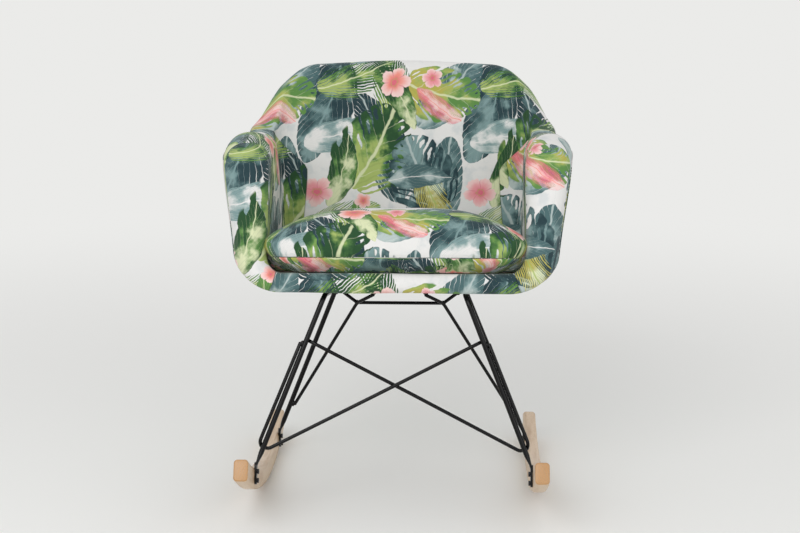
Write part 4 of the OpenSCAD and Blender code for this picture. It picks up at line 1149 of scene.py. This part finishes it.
class CHAIR_OT_runners(bpy.types.Operator):
    """Makes the two beech runners with rounded edges and sawn ends"""

    bl_idname = "chair.runners"
    bl_label = "Runners"

    corner_steps = 7
    end_steps = 3
    stations = 90

    def section(self, b):
        """The wood's section with its rounded long edges: sideways and upwards from its middle."""
        edge = b.runner_edge
        inner_t, inner_h = b.runner_thickness / 2 - edge, b.runner_height / 2 - edge
        outline = []
        for sx, sz, start in ((1, 1, 0), (-1, 1, 90), (-1, -1, 180), (1, -1, 270)):
            for k in range(self.corner_steps + 1):
                a = math.radians(start + 90 * k / self.corner_steps)
                outline.append((sx * inner_t + edge * math.cos(a), sz * inner_h + edge * math.sin(a)))
        return np.array(outline)

    def execute(self, context):
        b = Sizes(settings().base)
        r, reach, end_edge = b.runner_radius, b.runner_half_angle, b.runner_end_edge
        half = np.array([b.runner_thickness, b.runner_height]) / 2
        outline = self.section(b)
        soft = end_edge / r
        quarter = [math.pi / 2 * k / self.end_steps for k in range(self.end_steps + 1)]
        # each station along the wood: its turn round the runner's centre, and how far its section is drawn in
        end = [(-reach + soft * (1 - math.cos(a)), end_edge * (1 - math.sin(a))) for a in quarter]
        body = [(turn, 0.0) for turn in np.linspace(-reach + soft, reach - soft, self.stations)][1:-1]
        stations = end + body + [(-turn, inset) for turn, inset in reversed(end)]
        rows, around = len(stations), len(outline)
        faces = tube_faces(rows, around)
        round_section = path_lengths(np.vstack([outline, outline[:1]])) * MM
        uv = tube_map([turn * r * MM for turn, inset in stations], round_section)
        sawn = [int(i < 2 or i > rows - 4) for i in range(rows - 1) for _ in range(around)] + [1, 1]
        for name, node, side in (("runner_left", "left_runner", -1), ("runner_right", "right_runner", 1)):
            vertices = []
            for turn, inset in stations:
                for x, h in outline * (1 - inset / half):
                    radius = r - half[1] - h
                    vertices.append((side * b.runner_spacing / 2 + x, radius * math.sin(turn),
                                     r - radius * math.cos(turn)))
            woods = [finish_of("long_grain_beech", varnished_beech, False),
                     finish_of("sawn_beech", varnished_beech, True)]
            piece = make_object(name, at_rest(vertices, b), faces, CHAIR, woods, uv, sawn)
            with edited_mesh(piece) as bm:
                bmesh.ops.recalc_face_normals(bm, faces=bm.faces)
            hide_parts(node)
        return {"FINISHED"}


class CHAIR_OT_rods(bpy.types.Operator):
    """Makes the leg rods, the crossed brace, the struts, the tie bar, the cross rod and their welds"""

    bl_idname = "chair.rods"
    bl_label = "Rods"

    def leg_rod(self, lay):
        """One leg rod, flattened at both feet into the tabs."""
        b = lay.b
        foot_height = b.tab_inset + b.tab_length - b.tab_width * 0.45
        front, rear = (lay.on_runner(lay.tab_middle, turn, foot_height)
                       for turn in (-b.front_foot_angle, b.rear_foot_angle))
        path = rounded([lay.front_foot, lay.rail_front, lay.rail_rear, lay.rear_foot], b.rod_bend, 14)
        path = dense(np.vstack([front, path, rear]), 6)
        distance = path_lengths(path)
        from_end = np.minimum(distance, distance[-1] - distance)
        flat = 1 - smooth((from_end - b.tab_width * 0.3) / (b.tab_width * 1.5))
        radii = np.stack([lerp(b.leg_d / 2, b.tab_thickness / 2 * 1.04, flat),
                          lerp(b.leg_d / 2, b.tab_width / 2 * 0.98, flat)], -1)
        return sweep(path, radii, 28, across=[1, 0, 0])

    def wire(self, lay, points, bend_scale=1.0):
        path = dense(rounded(points, lay.b.wire_bend * bend_scale, 10), 25)
        return sweep(path, np.full((len(path), 2), lay.b.wire_d / 2), 20)

    def execute(self, context):
        lay = BaseLayout()
        b = lay.b
        leg, strut = self.leg_rod(lay), self.wire(lay, lay.strut, 2.0)
        for name, node, right, left in (
            ("leg_rod", "side_rod", leg, leg),
            ("brace", "front_brace", self.wire(lay, lay.brace[-1]), self.wire(lay, lay.brace[1])),
            ("strut", "rear_strut", strut, strut),
        ):
            steel_piece(f"{name}_right", f"right_{node}", [right], b)
            steel_piece(f"{name}_left", f"left_{node}", [mirrored_part(left)], b)
        steel_piece("tie_bar", "rear_tie_bar", [self.wire(lay, lay.tie)], b)
        cross = dense(np.array(lay.cross), 40)
        steel_piece("rail_cross_rod", "cross_rod", [sweep(cross, np.full((len(cross), 2), b.leg_d / 2), 24)], b)
        self.welds(lay)
        return {"FINISHED"}

    def welds(self, lay):
        """Small uneven beads of weld metal where a wire meets a rod, drawn out along one of them."""
        b, wire = lay.b, lay.b.wire_d
        rng = np.random.default_rng(5)
        x, y, z = np.eye(3)
        spots = (
            (lay.strut_foot - lay.rear_inner * wire * 0.5, lay.rear_line, 1.5),
            (lay.joint + lay.side * b.leg_d / 2 - lay.line * b.leg_d, lay.line, 1.3),
            (mirrored(lay.brace_start) + y * wire * 0.55, lay.line, 1.2),
            (lay.strut_corner + y * wire * 0.55 + z * wire * 0.2, x, 1.3),
            (lay.strut[-1] + z * wire * 0.55, x, 1.2),
            (lay.tie[0] + x * wire * 0.4, y, 1.3),
        )
        ball = bmesh.new()
        bmesh.ops.create_icosphere(ball, subdivisions=3, radius=1.0)
        sphere = np.array([v.co[:] for v in ball.verts])
        faces = [tuple(v.index for v in f.verts) for f in ball.faces]
        ball.free()
        uv = [(0.0, 0.0)] * (3 * len(faces))
        parts = []
        for place, way, stretch in spots:
            for side in (1, -1):
                ripple = 1 + 0.07 * np.sin(sphere @ rng.normal(size=3) * 4 + rng.uniform(0, 6))
                points = sphere * ripple[:, None] * b.weld_radius
                points = points + np.outer(points @ way, way) * (stretch - 1)
                bead = points * 0.82 + place, faces, uv
                parts.append(bead if side > 0 else mirrored_part(bead))
        steel_piece("weld_beads", None, parts, b)


class CHAIR_OT_tub(bpy.types.Operator):
    """Makes the tub's printed cover: the inside with its rolled rim, the outside panel and its sewn edge"""

    bl_idname = "chair.tub"
    bl_label = "Tub"

    rows, columns = 120, 84
    front_share = 0.052      # v up to which the front edge has a map of its own
    half_reach = 560         # half length of a row, for the seam's place across
    uneven_pitch = 150

    def places(self, tub):
        """Places of the sheet's rows and columns, which crowd towards its edges and meet the seam."""
        rise = edge_dense(self.rows // 2, 0.06, 18)
        top = edge_dense(self.rows // 2, 0.045, 14)
        seam_v = (tub.seam_inset / tub.rim_run, 1 - tub.seam_inset / tub.run)
        seam_s = 1 - tub.seam_inset / self.half_reach
        v = np.unique(np.concatenate([rise * 0.5, 1 - top * 0.5]))
        v = self.snap(v, [seam_v[0], self.front_share, seam_v[1]])
        half = 1 - edge_dense(self.columns, 0.12, 22)[::-1]
        half = self.snap(np.unique(half), [seam_s])
        return v, np.concatenate([-half[::-1], half[1:]]), seam_v, (-seam_s, seam_s)

    @staticmethod
    def snap(values, wanted):
        values = values.copy()
        for w in wanted:
            values[np.argmin(np.abs(values - w))] = w
        return values

    def print_map(self, tub, v, s, side, skin, repeat):
        """Millimetres on the cloth: U runs level round the tub and V runs up. Gives the map of the band round the
        tub, and the one of its front edge."""
        x, y, z = np.abs(skin.middle[..., 0]), skin.middle[..., 1], skin.middle[..., 2]
        sign, part = np.sign(s), tub.wall_part(v, s)
        over = (1 - skin.rest) * skin.half
        # U: along the back, round its corner, and forwards along the arm
        back_y, wall, r = tub.back_y(z), tub.wall_x(y, z), tub.wing_radius
        ahead, away = back_y - y, wall - x
        shown_r = r - side * tub.back_half_thick
        turn = np.arctan2(np.maximum(x - (wall - r), 0), np.maximum(r - ahead, 1e-6))
        past_corner = wall - r + shown_r * math.pi / 2
        stretch = 1.0
        if side > 0:  # drawn out or in, so that it meets the front edge's map one repeat further on
            whole = np.maximum(back_y - (tub.rim_front_y + 30) - r, 50)
            stretch = np.clip((wall - tub.arm_half_thick * 0.9 + repeat - past_corner) / whole, 0.6, 1.4)
        band = np.select([(away >= r) & (ahead >= r), ahead >= r, away < r],
                         [x, past_corner + (ahead - r) * stretch, wall - r + shown_r * turn], x)
        # V: up the wall, less what the round foot of the wall takes, and along the seat in front of the heel
        up = z / tub.back_dir[1]
        foot = tub.side_radius
        turned = np.arccos(np.clip(1 - np.clip(away, 0, foot) / foot, -1, 1))
        low = np.where(ahead > r, foot * (turned - np.sin(turned)) + np.maximum(0, away - foot), 0)
        front_u = skin.point[..., 0]
        if side > 0:
            past_heel = v * tub.run - tub.seat_run - tub.heel_run
            deck_up = np.where(past_heel < 0, tub.heel_end[1] / tub.back_dir[1] + past_heel, up)
            band_v = over + lerp(deck_up, up - low, np.where(past_heel < 0, part, 1))
        else:
            band_v = up - low
            front_u = front_u + sign * np.maximum(0, skin.point[..., 1] - tub.rim_front_y) * part
        deck = np.maximum(0, v * tub.run - tub.seat_half_thick) * (1 - part)
        front_v = skin.point[..., 2] / tub.back_dir[1] + over + deck * side
        return np.stack([side * sign * band, band_v], -1), np.stack([front_u, front_v], -1)

    def execute(self, context):
        base, sizes, cloth = (Sizes(getattr(settings(), name)) for name in ("base", "tub", "cloth"))
        tub = TubSheet(sizes)
        v, s, seam_v, seam_s = self.places(tub)
        grid_v, grid_s = np.meshgrid(v, s, indexing="ij")
        points, bands, fronts = [], [], []
        for side, seed in ((1, 11), (-1, 12)):
            skin = tub.skin(grid_v, grid_s, side)
            edge = np.clip(skin.front * skin.rest, 0, 1) ** 2
            uneven = cloth_noise(skin.point, self.uneven_pitch, seed) * sizes.pucker * edge
            points.append(skin.point + skin.normal * (side * uneven)[..., None])
            band, front = self.print_map(tub, grid_v, grid_s, side, skin, cloth.repeat_x)
            bands.append(band), fronts.append(front)
        seam_rows = [int(np.argmin(np.abs(v - place))) for place in seam_v]
        seam_columns = [int(np.argmin(np.abs(s - place))) for place in seam_s]
        inside, outside = self.covers(v, seam_rows, seam_columns, points, bands, fronts,
                                      cloth.back_shift * cloth.repeat_x)
        world = at_rest(np.concatenate([p.reshape(-1, 3) for p in points]), base)
        for name, (faces, uv), nodes in (
            ("tub_inside_cover", inside, ("inside_cover", "inner_padding")),
            ("tub_outside_panel", outside, ("outside_cover", "outer_padding")),
        ):
            piece = make_object(name, world, faces, CHAIR, [cloth_finish()], uv)
            if name == "tub_inside_cover":
                past = np.clip(tub.arm_seam(grid_v, grid_s), -400, 400).ravel()
                mark_seam(piece, np.concatenate([past, past]))
            with edited_mesh(piece) as bm:
                bmesh.ops.delete(bm, geom=[p for p in bm.verts if not p.link_faces], context="VERTS")
                bmesh.ops.remove_doubles(bm, verts=bm.verts, dist=0.05 * MM)
            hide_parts(*nodes)
        loop = self.seam_loop(points[1], seam_rows, seam_columns)
        sewn_cord("tub_sewn_edge", CHAIR, loop, tub.seam_radius, 8, lambda p: at_rest(p, base))
        return {"FINISHED"}

    def covers(self, v, seam_rows, seam_columns, points, bands, fronts, shift):
        """Sorts the faces of both sides of the sheet, each with its map, into the inside cover, which turns over
        the rim as far as the seam, and the outside panel."""
        rows, columns = bands[0].shape[:2]
        low, high = seam_rows
        left, right = seam_columns
        front_row = int(np.argmin(np.abs(v - self.front_share)))
        inside, outside = ([], []), ([], [])
        for back, (band, front) in enumerate(zip(bands, fronts)):
            for i in range(rows - 1):
                for j in range(columns - 1):
                    corners = [(i, j), (i, j + 1), (i + 1, j + 1), (i + 1, j)]
                    if back:
                        corners.reverse()
                    cover = inside
                    if back and low <= i < high and left <= j < right:
                        cover = outside
                        uv = [(band[c][0] + shift, band[c][1]) for c in corners]
                    elif i < front_row:
                        uv = [tuple(front[c]) for c in corners]
                    elif not back:
                        uv = [tuple(band[c]) for c in corners]
                    else:
                        uv = [self.over_rim(bands[0], points[1], c) for c in corners]
                    cover[0].append(tuple((back * rows + a) * columns + b for a, b in corners))
                    cover[1].extend(uv)
        return inside, outside

    @staticmethod
    def over_rim(band, outer, corner):
        """The map of the strip that the inside cover turns over the rim, down to the seam."""
        i, j = corner
        rows, columns = band.shape[:2]
        near_j = 0 if j < columns / 2 else columns - 1
        to_side = np.linalg.norm(outer[i, j] - outer[i, near_j])
        to_top = np.linalg.norm(outer[i, j] - outer[rows - 1, j])
        rim = band[i, near_j] if to_side < to_top else band[rows - 1, j]
        return rim[0], rim[1] + min(to_side, to_top)

    @staticmethod
    def seam_loop(outer, seam_rows, seam_columns):
        """An even, smooth loop round the outside panel."""
        (low, high), (left, right) = seam_rows, seam_columns
        loop = np.array([outer[low, j] for j in range(left, right)] + [outer[i, right] for i in range(low, high)]
                        + [outer[high, j] for j in range(right, left, -1)]
                        + [outer[i, left] for i in range(high, low, -1)])
        keep = [0]
        for k in range(1, len(loop)):
            if np.linalg.norm(loop[k] - loop[keep[-1]]) > 4:
                keep.append(k)
        loop = loop[keep]
        for _ in range(3):
            loop = (np.roll(loop, 1, 0) + 2 * loop + np.roll(loop, -1, 0)) / 4
        return loop


class CHAIR_OT_dust_cloth(bpy.types.Operator):
    """Makes the dark cloth under the seat"""

    bl_idname = "chair.dust_cloth"
    bl_label = "Dust cloth"

    columns, rows = 60, 44
    margin = 14              # from the cloth's edge to the seat's round edges
    ripple, ripple_pitch = 0.05, 17

    def execute(self, context):
        lay = BaseLayout()
        b = lay.b
        tub = TubSheet(Sizes(settings().tub))
        half_x = float(tub.wall_x(tub.deck_start[0], tub.deck_start[1])) - tub.side_radius - self.margin
        deep = tub.seat_run - 4 * tub.seat_half_thick - self.margin
        middle_y = -tub.seat_front + tub.seat_run / 2
        rise = -tub.under_half_thick - lay.gap - lay.cloth_thickness / 2
        columns, rows = self.columns, self.rows
        vertices, faces, uv = [], [], []
        for i in range(rows + 1):
            for j in range(columns + 1):
                x, y = (j / columns * 2 - 1) * half_x, middle_y + (i / rows - 0.5) * deep
                sag = self.ripple * (1 - math.cos(i / rows * 2 * math.pi)) * math.sin(x / self.ripple_pitch)
                vertices.append(lay.on_deck(x, y, rise + sag))
        for i in range(rows):
            for j in range(columns):
                a = i * (columns + 1) + j
                faces.append((a, a + columns + 1, a + columns + 2, a + 1))
                uv += [(j, i), (j, i + 1), (j + 1, i + 1), (j + 1, i)]
        piece = make_object("dust_cloth", at_rest(vertices, b), faces, CHAIR,
                            [finish_of("dust_cloth", dust_cloth_finish)], uv)
        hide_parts("underside_cloth")
        return {"FINISHED"}


class CHAIR_OT_cushion(bpy.types.Operator):
    """Makes the loose cushion: swollen by a cloth simulation, with its low seam and sewn edge"""

    bl_idname = "chair.cushion"
    bl_label = "Cushion"

    plan_power = 7   # squareness of the plan, where 2 is round
    sectors = 144
    outset = 1.0     # how far the form before the simulation stands past the cushion's plan
    # rings of that form: share of the plan, and share of the height from the seam up or from the seam down
    top_rings = ((0.98, 0), (0.99, 0.07), (0.997, 0.15), (1, 0.25), (0.997, 0.35), (0.987, 0.45), (0.968, 0.55),
                 (0.94, 0.64), (0.9, 0.73), (0.845, 0.81), (0.77, 0.875), (0.68, 0.92), (0.56, 0.955),
                 (0.44, 0.978), (0.3, 0.992), (0.15, 1), (0.05, 1))
    low_rings = ((0.98, 0), (0.966, 0.14), (0.947, 0.3), (0.922, 0.46), (0.89, 0.62), (0.85, 0.78), (0.806, 0.9),
                 (0.76, 0.975), (0.7, 1), (0.55, 1), (0.38, 1), (0.2, 1), (0.05, 1))
    low_room, top_room = 1.5, 5           # left under and over the form for its swelling
    end_fall, fall_from, fall_run = 0.17, 100, 130  # share by which the top falls towards the ends, and where
    bulges = ((6, 46, 36), (7, 60, 18))   # the ends' bulges: size, height and spread
    bulge_from = 110
    press = 1.3                           # how far the ends press into the arms' padding
    front_room, arm_front = 3, -120       # the ends stand out this much further in front of this place
    uneven_pitch, uneven_depth = 95, 0.9
    gather_pitch, gather_depth, gather_spread = 26, 0.55, 11
    groove_spread = 3.2
    print_place = (60, 95)
    low_shift = (0.46, 0.31)              # shift of the print on the bottom panel, in repeats

    def ring(self, q, scale, height):
        """One ring of the form. Its sides draw in a little between the corners, and it is narrower at the back."""
        a = np.arange(self.sectors) * 2 * math.pi / self.sectors
        px, py = (np.sign(c) * np.abs(c) ** (2 / self.plan_power) for c in (np.cos(a), np.sin(a)))
        taper = lerp(1, q.taper, smooth((py + 0.9) / 1.9))
        draw = 1 - 0.012 * (1 - np.abs(np.sin(2 * a)) ** 0.7)
        x = px * (q.width / 2 + self.outset) * taper * scale * draw
        y = py * (q.depth / 2 + self.outset) * scale * draw
        return np.stack([x, y, np.full_like(x, height)], -1)

    def execute(self, context):
        base, q, cloth = (Sizes(getattr(settings(), name)) for name in ("base", "cushion", "cloth"))
        lay = BaseLayout()
        down, up = q.seam_height - self.low_room, q.height - q.seam_height - self.top_room
        rings = ([self.ring(q, scale, q.seam_height - down * part) for scale, part in reversed(self.low_rings)]
                 + [self.ring(q, scale, q.seam_height + up * part) for scale, part in self.top_rings[1:]])
        mesh = bpy.data.meshes.new("cushion_pad")
        mesh.from_pydata([tuple(p) for p in np.concatenate(rings) * MM], [], tube_faces(len(rings), self.sectors))
        pad = bpy.data.objects.new("cushion_pad", mesh)
        context.scene.collection.objects.link(pad)
        pad.data = self.swollen(context, pad, q)
        local = np.array([p.co[:] for p in pad.data.vertices]) / MM
        normals = np.array([p.normal[:] for p in pad.data.vertices])
        local = self.sewn_shape(self.end_shape(local, q), normals, q)
        self.finish_pad(pad, local, normals, q, cloth, lambda p: at_rest(self.placed(p, q, lay), base))
        tree = BVHTree.FromPolygons([tuple(p) for p in local], [tuple(f.vertices) for f in pad.data.polygons])
        sewn_cord("cushion_sewn_edge", CUSHION, self.seam_loop(tree, q), q.cord_radius, 1,
                  lambda p: at_rest(self.placed(p, q, lay), base))
        return {"FINISHED"}

    def half_room(self, y, q):
        """Half of the room between the arms, which is wider in front of them."""
        return q.width / 2 + self.press + self.front_room * smooth((self.arm_front - y) / 25)

    def end_shape(self, local, q):
        """The top falls towards both ends, and the ends bulge over the seam and lie flat where they press on the
        arms."""
        x, y, z = np.abs(local[:, 0]), local[:, 1], local[:, 2]
        fall = 1 - self.end_fall * smooth((x - self.fall_from) / self.fall_run)
        z = np.where(z > q.seam_height, q.seam_height + (z - q.seam_height) * fall, z)
        swell = sum(size * np.exp(-((z - height) / spread) ** 2) for size, height, spread in self.bulges)
        x = x + swell * smooth((x - self.bulge_from) / self.bulge_from)
        return np.stack([np.sign(local[:, 0]) * np.minimum(x, self.half_room(y, q)), y, z], -1)

    def sewn_shape(self, local, normals, q):
        """Soft unevenness, gathers at the seam and the seam's groove. The underside stays flat on the seat."""
        near_seam = np.exp(-((local[:, 2] - q.seam_height) / self.gather_spread) ** 2)
        gathers = cloth_noise(local * np.array([1, 1, 0.3]), self.gather_pitch, 22) * near_seam
        uneven = cloth_noise(local, self.uneven_pitch, 21) * self.uneven_depth + gathers * self.gather_depth
        local = local + normals * (uneven * smooth((local[:, 2] - 4) / 8))[:, None]
        room = self.half_room(local[:, 1], q)
        local[:, 0] = np.clip(local[:, 0], -room, room)
        outwards = unit(normals * np.array([1, 1, 0]) + TINY)
        groove = q.groove * np.exp(-((local[:, 2] - q.seam_height) / self.groove_spread) ** 2)
        side_facing = np.clip(1 - np.abs(normals[:, 2]) * 0.6, 0, 1)
        local = local - outwards * (groove * side_facing)[:, None]
        local[:, 2] = np.maximum(local[:, 2], 0.2)
        return local

    @staticmethod
    def placed(local, q, lay):
        """The cushion's own points laid on the seat of the level chair."""
        slope = lay.tub.seat_slope
        middle_y = -(lay.tub.seat_front - q.setback) + q.depth / 2
        origin = lay.on_deck(0, middle_y, lay.tub.seat_half_thick + q.clearance)
        c, s = math.cos(slope), math.sin(slope)
        y, z = local[:, 1], local[:, 2]
        return origin + np.stack([local[:, 0], c * y + s * z, -s * y + c * z], -1)

    @staticmethod
    def applied(context, pad):
        """The pad's mesh as its modifiers make it. They are taken off."""
        graph = context.evaluated_depsgraph_get()
        graph.update()
        mesh = bpy.data.meshes.new_from_object(pad.evaluated_get(graph))
        pad.modifiers.clear()
        return mesh

    def remeshed(self, context, pad, size):
        modifier = pad.modifiers.new("remesh", "REMESH")
        modifier.mode, modifier.voxel_size, modifier.use_smooth_shade = "VOXEL", size, True
        return self.applied(context, pad)

    def swollen(self, context, pad, q):
        """The remeshed form after some steps of cloth under pressure, whose moves are capped, in a finer mesh."""
        pad.data = self.remeshed(context, pad, q.voxel * MM)
        start = np.array([p.co[:] for p in pad.data.vertices])
        cloth = pad.modifiers.new("cloth", "CLOTH").settings
        for key, value in {"quality": 5, "mass": 0.25, "tension_stiffness": 18, "compression_stiffness": 18,
                           "shear_stiffness": 8, "bending_stiffness": 0.6, "use_pressure": True,
                           "uniform_pressure_force": q.pressure, "shrink_min": -0.012}.items():
            setattr(cloth, key, value)
        cloth.effector_weights.gravity = 0
        scene = context.scene
        for number in range(1, q.sim_frames + 1):
            scene.frame_set(number)
        graph = context.evaluated_depsgraph_get()
        moved = np.array([p.co[:] for p in pad.evaluated_get(graph).data.vertices])
        pad.modifiers.clear()
        scene.frame_set(1)
        step = moved - start
        far = np.linalg.norm(step, axis=1, keepdims=True)
        cap = q.swell_cap * MM
        end = start + step * (cap * np.tanh(far / cap) / np.maximum(far, TINY))
        end[:, 2] = np.maximum(end[:, 2], 0.2 * MM)
        pad.data.vertices.foreach_set("co", end.astype(np.float32).ravel())
        pad.data.update()
        divide = pad.modifiers.new("divide", "SUBSURF")
        divide.levels = divide.render_levels = 1
        return self.applied(context, pad)

    def finish_pad(self, pad, local, normals, q, cloth, place):
        """Sets the pad on the seat, and lays the print over its top, down its sides and round the band under the
        seam."""
        mesh = pad.data
        mesh.vertices.foreach_set("co", place(local).astype(np.float32).ravel())
        flat = np.abs(normals[:, :2])
        share_x = flat[:, 0] ** 2 / (flat[:, 0] ** 2 + flat[:, 1] ** 2 + 1e-6)
        x, y, drop = local[:, 0], local[:, 1], q.height - local[:, 2]
        top = x + np.sign(x) * drop * share_x, y + np.sign(y) * drop * (1 - share_x)
        band = (lerp(x, np.sign(x) * (q.width / 2 + 1.3 * drop), share_x),
                lerp(np.sign(y) * (q.depth / 2 + 1.3 * drop), y, share_x))
        corner = np.zeros(len(mesh.loops), int)
        mesh.loops.foreach_get("vertex_index", corner)
        around = [list(f.vertices) for f in mesh.polygons]
        counts = [len(face) for face in around]
        low = np.repeat([local[face, 2].mean() < q.seam_height for face in around], counts)
        under = np.repeat([normals[face, 2].mean() < -0.8 for face in around], counts)
        uv = [np.where(low & ~under, band[k][corner], top[k][corner]) + self.print_place[k]
              + np.where(low, self.low_shift[k] * repeat, 0)
              for k, repeat in enumerate((cloth.repeat_x, cloth.repeat_y))]
        for layer in list(mesh.uv_layers):
            mesh.uv_layers.remove(layer)
        cloth_map(mesh, np.stack(uv, -1))
        mesh.polygons.foreach_set("use_smooth", [True] * len(mesh.polygons))
        mesh.materials.clear()
        mesh.materials.append(cloth_finish())
        mesh.update()
        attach(pad, CUSHION)
        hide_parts("cushion_foam", "cushion_top_cover", "cushion_bottom_cover")

    @staticmethod
    def seam_loop(tree, q):
        """A loop in the seam's groove, found from outside, so that half of the sewn edge is sunk in it."""
        loop, count = [], 260
        for k in range(count):
            a = 2 * math.pi * k / count
            way = Vector((math.cos(a), math.sin(a) * 0.9, 0)).normalized()
            hit = tree.ray_cast(Vector((0, 0, q.seam_height)) + way * 600, -way)
            if hit[0] is None:
                raise RuntimeError("the cushion's seam found no cover")
            loop.append(np.array(hit[0]) - np.array(way) * q.cord_radius * 0.5)
        return np.array(loop)


class CHAIR_OT_fasteners(bpy.types.Operator):
    """Gives the feet, screws and fixings their finishes"""

    bl_idname = "chair.fasteners"
    bl_label = "Feet and fixings"

    # finish: colour, roughness, metallic, grain, its depth in metres, and the nodes that have it
    plain = {
        "dark_screw": ((0.03, 0.03, 0.032), 0.38, 0.85, 900.0, 0.0003, ("runner_screws", "seat_screws")),
        "zinc_steel": ((0.52, 0.53, 0.54), 0.4, 1.0, 700.0, 0.0003, ("seat_washers", "tee_nuts")),
        "brass": ((0.72, 0.52, 0.22), 0.35, 1.0, 700.0, 0.0003, ("runner_inserts",)),
        "spacer_plastic": ((0.02, 0.02, 0.02), 0.6, 0.0, 500.0, 0.0004, ("seat_spacers", "cushion_zip")),
        "tub_plastic": ((0.1, 0.1, 0.1), 0.6, 0.0, 300.0, 0.0006, ("tub_core",)),
    }
    lacquered = ("front_left_tab", "front_right_tab", "rear_left_tab", "rear_right_tab", "mounting_plates")

    def execute(self, context):
        self.finish_nodes(lacquer(), self.lacquered)
        for name, (*look, nodes) in self.plain.items():
            self.finish_nodes(plain_finish(name, *look), nodes)
        return {"FINISHED"}

    @staticmethod
    def finish_nodes(finish, nodes):
        for node in (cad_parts[name] for name in nodes):
            if not node.material_slots:
                node.data.materials.append(finish)
            for slot in node.material_slots:
                slot.material = finish


class ChairSettings(bpy.types.PropertyGroup):
    """All sizes, colours and lights of the chair"""

    base: PointerProperty(type=ChairBaseSizes, name="Base", description="Runners and rods")
    tub: PointerProperty(type=ChairTubSizes, name="Tub", description="The padded tub")
    cushion: PointerProperty(type=ChairCushionSizes, name="Cushion", description="The loose cushion")
    colours: PointerProperty(type=ChairColours, name="Colours", description="Cloth, wood and metal")
    cloth: PointerProperty(type=ChairPrint, name="Cloth", description="Print and weave")
    stage: PointerProperty(type=ChairStage, name="Stage", description="Camera and light")


OPERATORS = (CHAIR_OT_stage, CHAIR_OT_runners, CHAIR_OT_rods, CHAIR_OT_tub, CHAIR_OT_dust_cloth,
             CHAIR_OT_cushion, CHAIR_OT_fasteners)


class CHAIR_PT_panel(bpy.types.Panel):
    """Lists the chair's pieces in the order that they are made"""

    bl_idname = "CHAIR_PT_panel"
    bl_label = "Rocking tub chair"
    bl_space_type = "VIEW_3D"
    bl_region_type = "UI"
    bl_category = "Chair"

    def draw(self, context):
        for operator in OPERATORS:
            self.layout.operator(operator.bl_idname)


CLASSES = (ChairBaseSizes, ChairTubSizes, ChairCushionSizes, ChairColours, ChairPrint, ChairStage,
           ChairSettings, *OPERATORS, CHAIR_PT_panel)


def register():
    for cls in CLASSES:
        bpy.utils.register_class(cls)
    bpy.types.Scene.chair_settings = PointerProperty(type=ChairSettings)


def unregister():
    del bpy.types.Scene.chair_settings
    for cls in reversed(CLASSES):
        bpy.utils.unregister_class(cls)


def main():
    register()
    for operator in OPERATORS:
        group, name = operator.bl_idname.split(".")
        if getattr(getattr(bpy.ops, group), name)() != {"FINISHED"}:
            raise RuntimeError(f"{operator.bl_label} wasn't made")


if __name__ == "__main__":
    main()
